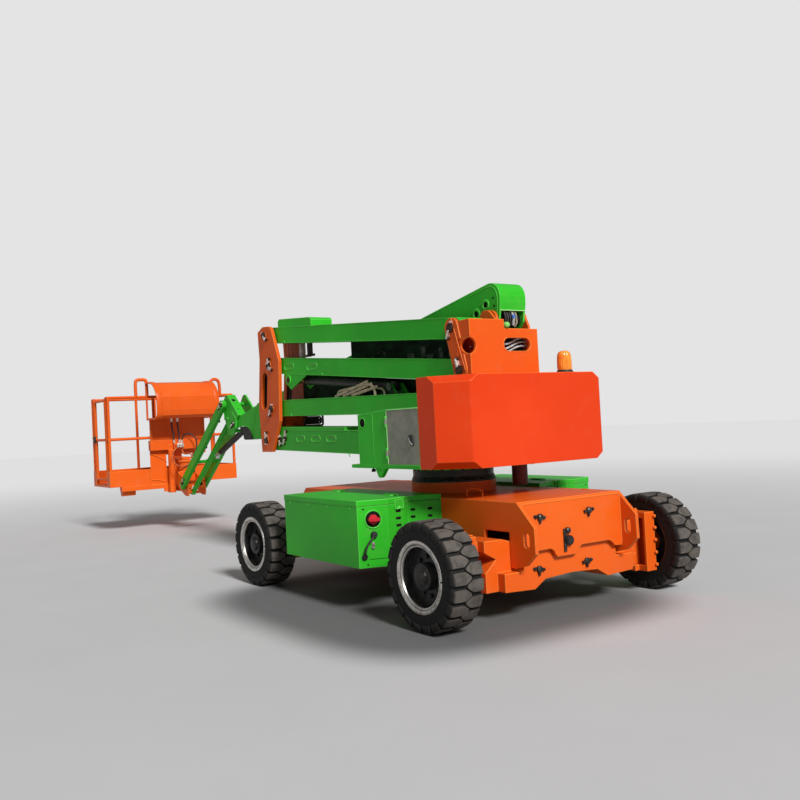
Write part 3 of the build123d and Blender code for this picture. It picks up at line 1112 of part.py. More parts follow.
write(cover.part, "console_cover")

# =====================================================================================
# Hydraulic cylinders: barrel on its foot pin, rod with an open eye
# =====================================================================================
CYLINDERS = (
    # name, foot, eye, y, barrel radius, rod radius, eye radius, rod start
    ("riser", RISER_CYL_FOOT, RISER_CYL_EYE, RISER_Y, CYL_BARREL, CYL_ROD, CYL_EYE, 90),
    ("boom", BOOM_CYL_FOOT, BOOM_CYL_EYE, BOOM_Y, BOOM_CYL_BARREL, BOOM_CYL_ROD, BOOM_CYL_EYE_R, 90),
    ("jib", JIB_CYL_FOOT, JIB_CYL_EYE, BOOM_Y - 65, JIB_CYL_BARREL, JIB_CYL_ROD, CYL_EYE - 8, 200),
)
for name, foot, eye, y, barrel_r, rod_r, eye_r, rod_start in CYLINDERS:
    angle = degrees(atan2(eye[1] - foot[1], eye[0] - foot[0]))
    length = span(foot, eye)
    eye_half = min(CYL_EYE_HALF, barrel_r)
    along = Plane(origin=(foot[0], y, foot[1]), x_dir=(0, 1, 0), z_dir=(cos(radians(angle)), 0, sin(radians(angle))))
    barrel_end = length - 150
    with BuildPart() as barrel:
        disc(foot, eye_r, y + eye_half, y - eye_half)
        with BuildSketch(along.offset(eye_r - 8)):
            Circle(barrel_r)
        extrude(amount=barrel_end - eye_r + 8)
        with BuildSketch(along.offset(eye_r + 20)):
            Circle(rod_r + 8)
        extrude(amount=length, mode=Mode.SUBTRACT)
        with BuildSketch(along.offset(barrel_end - 50)):
            Circle(barrel_r)
            Circle(rod_r + RUNNING_FIT, mode=Mode.SUBTRACT)
        extrude(amount=50)
        disc(foot, CYL_PIN + RUNNING_FIT, y + 100, y - 100, Mode.SUBTRACT)
    write(barrel.part, f"{name}_cylinder_barrel")
    with BuildPart() as rod:
        with BuildSketch(along.offset(rod_start)):
            Circle(rod_r)
        extrude(amount=length - eye_r - rod_start + 8)
        disc(eye, eye_r, y + eye_half - 2, y - eye_half + 2)
        disc(eye, CYL_PIN + 4, y + 100, y - 100, Mode.SUBTRACT)
    write(rod.part, f"{name}_cylinder_rod")

# =====================================================================================
# Hoses: each a tube of straight runs and tangent arcs, held at both of its ends
# =====================================================================================
CABLE_FACE = (-0.9656, 0.2601)
CABLE_ALONG = (-0.2601, -0.9656)


def on_facet(out, along, z):
    """A point at a distance out from the left side box's slanted face."""
    return (
        BOX_REAR + out * CABLE_FACE[0] + along * CABLE_ALONG[0],
        BOX_OUTER + out * CABLE_FACE[1] + along * CABLE_ALONG[1],
        z,
    )


LUG_IN = BOOM_Y + BOOM_HALF + 6
LUG_OUT = BOOM_Y - BOOM_HALF - 6
CHEEK_IN = BOOM_Y + BOOM_HALF - ROOT_PLATE
CHEEK_OUT = BOOM_Y - BOOM_HALF + ROOT_PLATE
HOSES = (
    # name, diameter, points
    ("hose_platform_1", 22, ((6080, -50, COVER_LOW - 0.2), (6080, -50, 1430), (6072, -74, 1312), (6072, -74, MANIFOLD_HIGH + 0.2))),
    ("hose_platform_2", 22, ((6080, -140, COVER_LOW - 0.2), (6080, -140, 1440), (6068, -152, 1318), (6068, -152, MANIFOLD_HIGH + 0.2))),
    ("hose_platform_3", 20, (
        (6076, -190, MANIFOLD_HIGH + 0.2), (6076, -190, 1265), (6054, -240, 1325), (6015, -315, 1322), (5990, -370, 1262),
        (5980, -380, 1165), (5977, -358, 1070), (5976, -300, 982), (5976, BOOM_Y - CARRIER_HALF - 0.2, 982),
    )),
    ("hose_platform_4", 20, (
        (MANIFOLD_REAR - 0.2, -85, 1160), (5978, -85, 1160), (5915, -32, 1128), (5878, 30, 1066), (5858, 52, 985), (5846, 14, 908),
        (5836, -62, 868), (5822, -148, 878), (5816, -215, 935), (5834, -243, 1000), (5898, -235, 1052), (5985, -214, 1036),
        (6066, -188, 1050), (6066, -188, MANIFOLD_LOW - 0.2),
    )),
    ("hose_bracket_1", 16, (
        (-735, LUG_IN - 0.2, 1848), (-735, -84, 1848), (-741, -138, 1868), (-735, -196, 1893), (-728, -250, 1906), (-728, LUG_OUT + 0.2, 1906),
    )),
    ("hose_bracket_2", 16, (
        (-724, LUG_IN - 0.2, 1818), (-724, -88, 1818), (-733, -145, 1842), (-733, -202, 1866), (-727, -254, 1875), (-727, LUG_OUT + 0.2, 1875),
    )),
    ("hose_bracket_3", 16, (
        (-738, LUG_IN - 0.2, 1884), (-738, -90, 1884), (-743, -146, 1900), (-736, -200, 1924), (-728, -252, 1936), (-728, LUG_OUT + 0.2, 1936),
    )),
    ("hose_boom_1", 22, ((-702, CHEEK_IN - 0.2, 2188), (-702, -106, 2188), (-712, -160, 2168), (-700, -220, 2180), (-700, CHEEK_OUT + 0.2, 2180))),
    ("hose_boom_2", 14, ((-682, CHEEK_IN - 0.2, 2236), (-682, -104, 2236), (-700, -152, 2208), (-692, -216, 2222), (-692, CHEEK_OUT + 0.2, 2222))),
    ("hose_riser_1", 24, (
        (1110, 262, 1594.2), (1110, 262, 1624), (1070, 262, 1648), (1000, 263, 1652), (880, 261, 1660), (740, 262, 1672),
        (620, 263, 1682), (540, 262, 1664), (510, 262, 1622), (510, 262, 1579.3),
    )),
    ("hose_riser_2", 18, (
        (800, 240, 1586.4), (800, 240, 1612), (768, 240, 1631), (700, 241, 1632), (600, 239, 1636), (500, 240, 1640), (430, 240, 1632),
        (400, 240, 1606), (400, 240, 1576.5),
    )),
    ("isolator_cable", 14, (
        on_facet(0.3, 116, 560), on_facet(32, 116, 560), on_facet(44, 92, 540), on_facet(46, 58, 508), on_facet(42, 38, 458),
        on_facet(22, 41, 411), on_facet(0.3, 41, 411),
    )),
)
for name, diameter, points in HOSES:
    corners = [Vector(*point) for point in points]
    runs = [(b - a).length for a, b in zip(corners, corners[1:])]
    radii = []
    for i in range(1, len(corners) - 1):
        turn = (corners[i] - corners[i - 1]).get_angle(corners[i + 1] - corners[i])
        radii.append(0.45 * min(runs[i - 1], runs[i]) / tan(radians(turn / 2)))
    with BuildPart() as hose:
        with BuildLine() as route:
            FilletPolyline(*corners, radius=radii)
        with BuildSketch(Plane(origin=corners[0], z_dir=corners[1] - corners[0])):
            Circle(diameter / 2)
        sweep(path=route.wires()[0])
    length = sum(edge.length for edge in route.edges())
    ideal = length * pi * diameter ** 2 / 4
    print(name, "length", round(length), "volume share", round(hose.part.volume / ideal, 4), "radii", [round(r) for r in radii])
    write(hose.part, name)
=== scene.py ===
import math

import bmesh
import bpy
import numpy as np
from mathutils import Matrix, Vector


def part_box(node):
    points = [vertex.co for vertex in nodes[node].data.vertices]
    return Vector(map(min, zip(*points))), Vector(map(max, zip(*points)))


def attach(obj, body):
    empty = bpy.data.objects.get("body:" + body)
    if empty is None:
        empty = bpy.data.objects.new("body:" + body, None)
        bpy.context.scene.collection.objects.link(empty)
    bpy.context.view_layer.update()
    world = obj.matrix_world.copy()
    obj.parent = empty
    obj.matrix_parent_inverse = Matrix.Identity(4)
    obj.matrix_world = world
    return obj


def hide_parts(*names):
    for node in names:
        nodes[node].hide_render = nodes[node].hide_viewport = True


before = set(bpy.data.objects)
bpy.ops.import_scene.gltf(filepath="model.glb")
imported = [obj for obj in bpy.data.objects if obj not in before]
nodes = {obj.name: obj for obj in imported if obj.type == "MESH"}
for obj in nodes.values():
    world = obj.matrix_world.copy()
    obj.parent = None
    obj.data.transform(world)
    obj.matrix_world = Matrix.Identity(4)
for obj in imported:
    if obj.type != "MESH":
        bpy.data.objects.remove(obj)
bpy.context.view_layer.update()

# =====================================================================================
# Standpoint, ground and daylight
# The machine stands on swept pale concrete under a bright overcast sky, seen from low
# beyond its left rear corner, with a soft high sun behind its counterweight.
# =====================================================================================


def middle(node):
    """The centre of a CAD piece's box."""
    low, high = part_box(node)
    return (np.array(low) + np.array(high)) / 2


# Lengths along the machine are counted from the middle of its wheelbase.
AXLES_X = float((middle("tyre_steer_left")[0] + middle("tyre_drive_left")[0]) / 2)
EYE = np.array((AXLES_X - 5.631, 4.488, 1.346))
HEADING, TILT, LEAN = np.radians((-31.202, 1.503, -2.883))
ahead = np.array((
    math.cos(TILT) * math.cos(HEADING),
    math.cos(TILT) * math.sin(HEADING),
    math.sin(TILT),
))
level_right = np.cross(ahead, (0, 0, 1))
level_right /= np.linalg.norm(level_right)
level_up = np.cross(level_right, ahead)
right = level_right * math.cos(LEAN) + level_up * math.sin(LEAN)
above = -level_right * math.sin(LEAN) + level_up * math.cos(LEAN)

lens = bpy.data.cameras.new("standpoint")
lens.lens = 39.273
lens.sensor_width = 36
lens.shift_x = 0.094
lens.shift_y = 0.00275
camera = bpy.data.objects.new("standpoint", lens)
bpy.context.collection.objects.link(camera)
camera.matrix_world = Matrix((
    (right[0], above[0], -ahead[0], EYE[0]),
    (right[1], above[1], -ahead[1], EYE[1]),
    (right[2], above[2], -ahead[2], EYE[2]),
    (0, 0, 0, 1),
))
bpy.context.scene.camera = camera
bpy.context.scene.view_settings.view_transform = "Standard"


class Value:
    """A socket of a node tree. Arithmetic on it adds Math nodes."""

    def __init__(self, tree, socket):
        self.tree = tree
        self.socket = socket

    def math(self, operation, other=0.0, swapped=False):
        """One Math node on this value and another, in the order given by swapped."""
        node = self.tree.nodes.new("ShaderNodeMath")
        node.operation = operation
        for slot, item in zip(node.inputs, (other, self) if swapped else (self, other)):
            if isinstance(item, Value):
                self.tree.links.new(item.socket, slot)
            else:
                slot.default_value = item
        return Value(self.tree, node.outputs[0])

    def __add__(self, other):
        return self.math("ADD", other)

    def __sub__(self, other):
        return self.math("SUBTRACT", other)

    def __rsub__(self, other):
        return self.math("SUBTRACT", other, swapped=True)

    def __mul__(self, other):
        return self.math("MULTIPLY", other)

    __radd__ = __add__
    __rmul__ = __mul__


class Finish:
    """A material being mixed. Keyword arguments are sockets of its surface shader."""

    def __init__(self, name, **sockets):
        self.material = bpy.data.materials.new(name)
        self.material.use_nodes = True
        self.tree = self.material.node_tree
        self.tree.nodes.clear()
        self.shader = self.tree.nodes.new("ShaderNodeBsdfPrincipled")
        ending = self.tree.nodes.new("ShaderNodeOutputMaterial")
        self.tree.links.new(self.shader.outputs[0], ending.inputs["Surface"])
        self.place = self.node("TexCoord", output="Object")
        self.set(**sockets)

    def set(self, **sockets):
        """Gives sockets of the surface a number, a colour or a link."""
        self.fill(self.shader, {name.replace("_", " "): item for name, item in sockets.items()})

    def fill(self, node, sockets):
        """Gives a node's inputs their values or links, by name or by number."""
        for key, item in sockets.items():
            slot = node.inputs[key]
            if isinstance(item, Value):
                self.tree.links.new(item.socket, slot)
            elif slot.type == "RGBA":
                slot.default_value = (*item, 1)
            else:
                slot.default_value = item

    def node(self, kind, settings=(), sockets=(), output=0):
        """Adds a node: its settings first, then the values or links of its sockets."""
        node = self.tree.nodes.new("ShaderNode" + kind)
        for name, item in dict(settings).items():
            setattr(node, name, item)
        self.fill(node, dict(sockets))
        return Value(self.tree, node.outputs[output])

    def noise(self, scale, detail=3.0, rough=0.5, stretch=(1, 1, 1)):
        """Cloudy noise in the piece's own metres, stretched along its axes."""
        place = self.node("Mapping", {}, {"Vector": self.place, "Scale": stretch})
        return self.node("TexNoise", {}, {
            "Vector": place, "Scale": scale, "Detail": detail, "Roughness": rough,
        })

    def ramp(self, value, low, high):
        """A soft step from 0 at low to 1 at high."""
        return self.node("MapRange", {"interpolation_type": "SMOOTHSTEP"}, {
            "Value": value, "From Min": low, "From Max": high, "To Min": 0.0, "To Max": 1.0,
        })

    def mix(self, share, first, second):
        """A colour between two, by a share from 0 to 1."""
        return self.node("Mix", {"data_type": "RGBA"}, {0: share, 6: first, 7: second}, output=2)

    def bump(self, height, strength, distance, **more):
        """Surface relief from a height."""
        sockets = {"Height": height, "Strength": strength, "Distance": distance, **more}
        return self.node("Bump", {}, sockets)

    def mark(self, name="mark"):
        """A piece's own attribute, a number per point."""
        return self.node("Attribute", {"attribute_name": name}, output="Fac")


GROUND_HALF = 60.0
ground_mesh = bpy.data.meshes.new("ground")
ground_mesh.from_pydata(
    [(x * GROUND_HALF, y * GROUND_HALF, -0.0005) for x, y in ((-1, -1), (1, -1), (1, 1), (-1, 1))],
    [], [(0, 1, 2, 3)],
)
ground = bpy.data.objects.new("ground", ground_mesh)
bpy.context.collection.objects.link(ground)
concrete = Finish("pale_concrete", Roughness=0.9, Specular_IOR_Level=0.1)
distance = concrete.node("VectorMath", {"operation": "LENGTH"}, {0: concrete.place}, output="Value")
# The painted shade under the machine, a dark patch in the floor's colour, is a box with round
# corners: the fourth root of the sum of fourth powers of the distances from its middle, each as a
# share of the box's half size.
SHADE_MIDDLE, SHADE_HALF = (AXLES_X - 0.30, 0.45), (1.54, 1.43)
spread, width = (
    (concrete.node("SeparateXYZ", {}, {0: concrete.place}, output=axis) - at) * (1 / half)
    for axis, at, half in zip("XY", SHADE_MIDDLE, SHADE_HALF)
)
spread, width = spread * spread, width * width
under = (spread * spread + width * width).math("POWER", 0.25)
swept = concrete.mix(concrete.noise(1.3, detail=6.0), (0.475, 0.47, 0.475), (0.52, 0.515, 0.52))
swept = concrete.mix(concrete.ramp(distance, 3.0, 20.0), swept, (0.745, 0.745, 0.745))
concrete.set(Base_Color=concrete.mix(concrete.ramp(under, 0.80, 1.12), (0.14, 0.14, 0.14), swept))
ground.data.materials.append(concrete.material)

# The sky lights the machine less than it shows to the camera.
SKY_FILL, SKY_SHOWN = 0.29, 0.775
world = bpy.data.worlds.new("overcast")
world.use_nodes = True
bpy.context.scene.world = world
sky = world.node_tree
sky.nodes.clear()
rays = sky.nodes.new("ShaderNodeLightPath")
seen = Value(sky, rays.outputs["Is Camera Ray"])
backdrop = sky.nodes.new("ShaderNodeBackground")
level = seen * (SKY_SHOWN - SKY_FILL) + SKY_FILL
sky.links.new(level.socket, backdrop.inputs["Strength"])
air = sky.nodes.new("ShaderNodeOutputWorld")
sky.links.new(backdrop.outputs[0], air.inputs["Surface"])
backdrop.inputs["Color"].default_value = (1, 1, 1, 1)

SUN_FROM = Vector((-0.78, 0.10, 0.62))
sun = bpy.data.lights.new("sun", "SUN")
sun.energy = 3.7
sun.angle = math.radians(14)
sun_piece = bpy.data.objects.new("sun", sun)
bpy.context.collection.objects.link(sun_piece)
sun_piece.rotation_euler = SUN_FROM.to_track_quat("Z", "Y").to_euler()

# =====================================================================================
# Hoses
# Rubber hydraulic hoses with a braid inside, each crimped to a fitting at both ends: on
# the platform carrier, in the bracket, in the boom's root and on the second riser arm.
# =====================================================================================


def mottled(name, cloud, step, dark, light, gloss=None, gloss_scale=None, grain=None, **sockets):
    """A finish of two shades in clouds. The clouds are noise (scale, detail, roughness and
    stretch), stepped from dark to light between two levels. gloss is a gain and a base:
    roughness = gain x clouds + base, on the same clouds or on noise of gloss_scale. grain
    is a bump: its noise's scale, its strength and its distance."""
    finish = Finish(name, **sockets)
    share = finish.ramp(finish.noise(*cloud), *step)
    finish.set(Base_Color=finish.mix(share, dark, light))
    if gloss:
        source = finish.noise(gloss_scale) if gloss_scale else share
        finish.set(Roughness=source * gloss[0] + gloss[1])
    if grain:
        finish.set(Normal=finish.bump(finish.noise(grain[0]), *grain[1:]))
    return finish.material


def hose_cover(name, dark, light, gloss):
    """Extruded rubber, with fine noise as its cloth-wrapped skin."""
    return mottled(name, (35.0, 5.0), (0.35, 0.70), dark, light, (0.15, gloss),
                   grain=(400.0, 0.2, 0.0005), Specular_IOR_Level=0.4)


black_hose = hose_cover("black_hose", (0.012, 0.010, 0.010), (0.035, 0.030, 0.028), 0.42)
tan_hose = hose_cover("tan_hose", (0.24, 0.20, 0.12), (0.42, 0.36, 0.24), 0.60)
grey_hose = hose_cover("grey_hose", (0.30, 0.29, 0.28), (0.55, 0.53, 0.51), 0.50)
blue_hose = hose_cover("blue_hose", (0.02, 0.10, 0.42), (0.04, 0.18, 0.60), 0.45)
copper_hose = hose_cover("copper_hose", (0.30, 0.045, 0.012), (0.62, 0.14, 0.03), 0.45)


def facet_point(out, along, height):
    """A point out from the left box's slanted face and along it, in millimetres."""
    return (-491 - 0.9656 * out - 0.2601 * along, 1159 + 0.2601 * out - 0.9656 * along, height)


# Node, body, cover, diameter and points of each hose, in millimetres.
HOSES = (
    (
        "hose_platform_1", "platform", black_hose, 22,
        ((6080, -50, 1549.8), (6080, -50, 1430), (6072, -74, 1312), (6072, -74, 1200.2)),
    ),
    (
        "hose_platform_2", "platform", black_hose, 22,
        ((6080, -140, 1549.8), (6080, -140, 1440), (6068, -152, 1318), (6068, -152, 1200.2)),
    ),
    (
        "hose_platform_3", "platform", black_hose, 20,
        (
            (6076, -190, 1200.2), (6076, -190, 1265), (6054, -240, 1325), (6015, -315, 1322),
            (5990, -370, 1262), (5980, -380, 1165), (5977, -358, 1070), (5976, -300, 982),
            (5976, -230.2, 982),
        ),
    ),
    (
        "hose_platform_4", "platform", copper_hose, 20,
        (
            (6043.8, -85, 1160), (5978, -85, 1160), (5915, -32, 1128), (5878, 30, 1066),
            (5858, 52, 985), (5846, 14, 908), (5836, -62, 868), (5822, -148, 878),
            (5816, -215, 935), (5834, -243, 1000), (5898, -235, 1052), (5985, -214, 1036),
            (6066, -188, 1050), (6066, -188, 1119.8),
        ),
    ),
    (
        "hose_bracket_1", "bracket", grey_hose, 16,
        (
            (-735, -34.2, 1848), (-735, -84, 1848), (-741, -138, 1868), (-735, -196, 1893),
            (-728, -250, 1906), (-728, -305.8, 1906),
        ),
    ),
    (
        "hose_bracket_2", "bracket", grey_hose, 16,
        (
            (-724, -34.2, 1818), (-724, -88, 1818), (-733, -145, 1842), (-733, -202, 1866),
            (-727, -254, 1875), (-727, -305.8, 1875),
        ),
    ),
    (
        "hose_bracket_3", "bracket", grey_hose, 16,
        (
            (-738, -34.2, 1884), (-738, -90, 1884), (-743, -146, 1900), (-736, -200, 1924),
            (-728, -252, 1936), (-728, -305.8, 1936),
        ),
    ),
    (
        "hose_boom_1", "main_boom", black_hose, 22,
        (
            (-702, -56.2, 2188), (-702, -106, 2188), (-712, -160, 2168), (-700, -220, 2180),
            (-700, -283.8, 2180),
        ),
    ),
    (
        "hose_boom_2", "main_boom", blue_hose, 14,
        (
            (-682, -56.2, 2236), (-682, -104, 2236), (-700, -152, 2208), (-692, -216, 2222),
            (-692, -283.8, 2222),
        ),
    ),
    (
        "hose_riser_1", "riser_2", tan_hose, 24,
        (
            (1110, 262, 1594.2), (1110, 262, 1624), (1070, 262, 1648), (1000, 263, 1652),
            (880, 261, 1660), (740, 262, 1672), (620, 263, 1682), (540, 262, 1664),
            (510, 262, 1622), (510, 262, 1579.3),
        ),
    ),
    (
        "hose_riser_2", "riser_2", tan_hose, 18,
        (
            (800, 240, 1586.4), (800, 240, 1612), (768, 240, 1631), (700, 241, 1632),
            (600, 239, 1636), (500, 240, 1640), (430, 240, 1632), (400, 240, 1606),
            (400, 240, 1576.5),
        ),
    ),
    (
        "isolator_cable", "chassis", black_hose, 14,
        (
            facet_point(0.3, 116, 560), facet_point(32, 116, 560), facet_point(44, 92, 540),
            facet_point(46, 58, 508), facet_point(42, 38, 458), facet_point(22, 41, 411),
            facet_point(0.3, 41, 411),
        ),
    ),
)
HOSE_LENGTHS = (0.352, 0.350, 0.666, 1.050, 0.282, 0.282, 0.280, 0.232, 0.235, 0.697, 0.465, 0.231)
for (node, body, cover, diameter, points), length in zip(HOSES, HOSE_LENGTHS):
    route = np.array(points) / 1000 + (AXLES_X, 0, 0)
    curve = bpy.data.curves.new(node + "_route", "CURVE")
    curve.dimensions = "3D"
    spline = curve.splines.new("NURBS")
    spline.points.add(len(route) - 1)
    for point, place in zip(spline.points, route):
        point.co = (*place, 1)
    spline.order_u = 3
    spline.use_endpoint_u = True
    spline.resolution_u = 8
    curve.bevel_depth = diameter / 2000
    curve.bevel_resolution = 4
    curve.use_fill_caps = True
    curve.materials.append(cover)
    hose = bpy.data.objects.new(node + "_run", curve)
    bpy.context.collection.objects.link(hose)
    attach(hose, body)
    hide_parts(node)
    diameter / 1000

# =====================================================================================
# Painted steelwork
# Chassis, axles, counterweight, links and platform are welded plate in orange enamel,
# the boxes, hoods, riser arms, booms and jib are in green enamel, sprayed and baked.
# =====================================================================================
EDGE_RADIUS = 0.010
RUST_DUST = (0.40, 0.30, 0.20)


def enamel(name, colour, shade, light, dusty=0.10):
    """Sprayed enamel on plate. Two clouds of noise shade the colour and fleck dust on it.
    Edges are rounded by a bevelled normal, and where that leaves the true normal the colour
    turns to light: partly thinner, paler worn paint, and partly a painted highlight. Fine noise
    gives orange peel."""
    paint = Finish(name, Specular_IOR_Level=0.18)
    rounded = paint.node("Bevel", {"samples": 6}, {"Radius": EDGE_RADIUS})
    true = paint.node("NewGeometry", output="Normal")
    facing = paint.node(
        "VectorMath", {"operation": "DOT_PRODUCT"}, {0: rounded, 1: true}, output="Value",
    )
    worn_and_highlit_edge = paint.ramp(1.0 - facing, 0.003, 0.09)
    cloud = paint.ramp(paint.noise(0.9, detail=5.0), 0.36, 0.66)
    dust = paint.ramp(paint.noise(8.0, detail=8.0, rough=0.62), 0.50, 0.82)
    body = paint.mix(cloud, shade, colour)
    dusted = paint.mix(dust * dusty, body, RUST_DUST)
    # Paler colour at the edges: partly worn paint, partly painted highlight.
    paint.set(Base_Color=paint.mix(worn_and_highlit_edge * 0.85, dusted, light))
    paint.set(Roughness=dust * 0.20 + cloud * 0.06 + 0.32)
    peel = paint.noise(150.0, detail=2.0)
    paint.set(Normal=paint.bump(peel, 0.05, 0.001, Normal=rounded))
    return paint.material


orange_enamel = enamel(
    "orange_enamel", (0.75, 0.113, 0.009), (0.68, 0.089, 0.007), (0.92, 0.27, 0.05),
)
ballast_enamel = enamel(
    "ballast_enamel", (0.72, 0.050, 0.005), (0.66, 0.042, 0.004), (0.90, 0.16, 0.03), 0.05,
)
green_enamel = enamel(
    "green_enamel", (0.032, 0.50, 0.020), (0.026, 0.38, 0.018), (0.17, 0.78, 0.12),
)


def finish_of(material, *names):
    """Gives CAD pieces one material in place of what they came with."""
    for piece_name in names:
        slots = nodes[piece_name].data.materials
        slots.clear()
        slots.append(material)


finish_of(
    orange_enamel, "chassis", "steer_axle", "drive_axle", "knuckle_left", "knuckle_right",
    "mid_link", "boom_bracket", "platform", "platform_carrier", "platform_gate",
    "console_cover", "platform_support",
)
finish_of(ballast_enamel, "counterweight")
finish_of(
    green_enamel, "side_box_left", "side_box_right", "box_lid_left", "box_lid_right",
    "turntable", "riser_arm_1", "riser_arm_2", "riser_arm_3", "riser_arm_4", "main_boom",
    "fly_boom", "jib_knuckle", "jib_arms", "jib_link",
)

# =====================================================================================
# Wheels
# Solid rubber tyres with two staggered rows of blocks, pressed on dished steel wheels.
# A split lock ring of zinc-plated steel holds each tyre from outside.
# =====================================================================================


CREASE = math.radians(35)


def skin(name, grids, finish, body, around=True, along=False, ends=True, mark=None):
    """One piece from grids of points (rows, columns, 3), in metres from the middle of the
    wheelbase. around joins a grid's last column to its first and along its last row to
    its first, and ends closes its first and last rows with one face each. mark is a
    number for each point, of the grids' shape."""
    corners, faces, start = [], [], 0
    for grid in grids:
        rows, columns = grid.shape[:2]
        index = np.arange(rows * columns).reshape(rows, columns) + start
        start += rows * columns
        rim = index
        if around:
            index = np.concatenate((index, index[:, :1]), axis=1)
        if along:
            index = np.concatenate((index, index[:1]), axis=0)
        quads = np.stack((index[:-1, :-1], index[:-1, 1:], index[1:, 1:], index[1:, :-1]), axis=-1)
        faces += quads.reshape(-1, 4).tolist()
        if ends:
            faces += [rim[0, ::-1].tolist(), rim[-1].tolist()]
        corners.append(grid.reshape(-1, 3))
    points = np.concatenate(corners) + (AXLES_X, 0, 0)
    mesh = bpy.data.meshes.new(name)
    mesh.from_pydata(points.tolist(), [], faces)
    if mark is not None:
        layer = mesh.attributes.new("mark", "FLOAT", "POINT")
        layer.data.foreach_set("value", np.ravel(mark).astype(np.float32))
    work = bmesh.new()
    work.from_mesh(mesh)
    bmesh.ops.remove_doubles(work, verts=work.verts, dist=1e-6)
    bmesh.ops.recalc_face_normals(work, faces=work.faces)
    work.to_mesh(mesh)
    work.free()
    mesh.polygons.foreach_set("use_smooth", [True] * len(mesh.polygons))
    mesh.set_sharp_from_angle(angle=CREASE)
    mesh.materials.append(finish)
    piece = bpy.data.objects.new(name, mesh)
    bpy.context.collection.objects.link(piece)
    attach(piece, body)
    return piece


CORNERS = ("steer_left", "steer_right", "drive_left", "drive_right")


def wheel_place(corner):
    """A wheel's centre, and 1 on the machine's left or -1 on its right."""
    centre = middle("tyre_" + corner) - (AXLES_X, 0, 0)
    return centre, math.copysign(1, centre[1])


AXES = {"x": (1, 2, 0), "y": (0, 2, 1), "z": (0, 1, 2)}


def turned(centre, axis, profile, steps=24, sweep=(0.0, 1.0)):
    """A turned shape: each (distance, radius) of the profile makes a circle round the
    axis, that far along it. sweep is the share of the turn that it covers."""
    across, upward, lengthwise = AXES[axis]
    reach, radius = np.array(profile, float).T[:, :, None]
    whole = sweep == (0.0, 1.0)
    turn = 2 * np.pi * np.linspace(*sweep, steps, endpoint=not whole)
    grid = np.zeros((len(profile), steps, 3))
    grid[:, :, across] = radius * np.cos(turn)
    grid[:, :, upward] = radius * np.sin(turn)
    grid[:, :, lengthwise] = reach
    return grid + np.array(centre, float)


TYRE_RADIUS = 0.355


def tyre_blocks(centre, outward, count, turn):
    """One row of tread blocks. A block is a patch whose rows run from the sidewall over
    the shoulder to a blunt point past the centre line, and whose columns run round the
    tyre. Its outer rows and columns drop to the groove."""
    across = np.array((
        0.1195, 0.1222, 0.1222, 0.118, 0.108, 0.080, 0.048, 0.028, 0.006, -0.015, -0.0165,
    ))
    top = np.array((0.300, 0.304, 0.328, 0.343, 0.3525, 0.355, 0.355, 0.355, 0.3545, 0.353, 0.332))
    floor_across = np.array((
        0.117, 0.117, 0.117, 0.110, 0.100, 0.080, 0.048, 0.028, 0.006, -0.015, -0.0165,
    ))
    floor = np.array((0.300, 0.304, 0.324, 0.330, 0.332, 0.332, 0.332, 0.332, 0.332, 0.332, 0.332))
    half = np.array((0.036, 0.037, 0.038, 0.040, 0.041, 0.041, 0.041, 0.040, 0.026, 0.010, 0.009))
    column = np.array((-1.03, -1.0, -0.90, -0.30, 0.30, 0.90, 1.0, 1.03))
    sunk = np.array((1, 0, 0, 0, 0, 0, 0, 1), float)
    eased = np.array((0, 1, 0, 0, 0, 0, 1, 0), float)
    radius = top[:, None] * (1 - sunk) + floor[:, None] * sunk - 0.003 * eased
    width = across[:, None] * (1 - sunk) + floor_across[:, None] * sunk
    angle = half[:, None] * column / TYRE_RADIUS
    worn = np.where((top[:, None] > 0.349) & (np.abs(column) < 0.95), 1.0, 0.12)
    grids = []
    for block in range(count):
        at = angle + 2 * np.pi * (block + turn) / count
        grid = np.stack((radius * np.sin(at), outward * width, radius * np.cos(at)), axis=-1)
        grids.append(grid + centre)
    return grids, np.tile(worn, (count, 1, 1))


rubber = Finish("tyre_rubber", Roughness=0.78, Specular_IOR_Level=0.25)
scuffed = rubber.mark() * (
    rubber.ramp(rubber.noise(16.0, detail=6.0, rough=0.6), 0.30, 0.62) * 0.55 + 0.45
)
rubber.set(Base_Color=rubber.mix(scuffed, (0.010, 0.010, 0.010), (0.105, 0.090, 0.078)))
rubber.set(Normal=rubber.bump(rubber.noise(240.0, detail=3.0), 0.25, 0.001))

wheel_enamel = mottled(
    "wheel_enamel", (14.0, 6.0, 0.6), (0.40, 0.72), (0.030, 0.032, 0.033), (0.075, 0.070, 0.062),
    (0.25, 0.45), grain=(120.0, 0.10, 0.001), Metallic=0.2)
zinc = mottled(
    "zinc_steel", (22.0, 7.0, 0.65), (0.42, 0.75), (0.62, 0.60, 0.57), (0.30, 0.25, 0.20),
    (0.30, 0.30), grain=(180.0, 0.08, 0.001), Metallic=0.85)

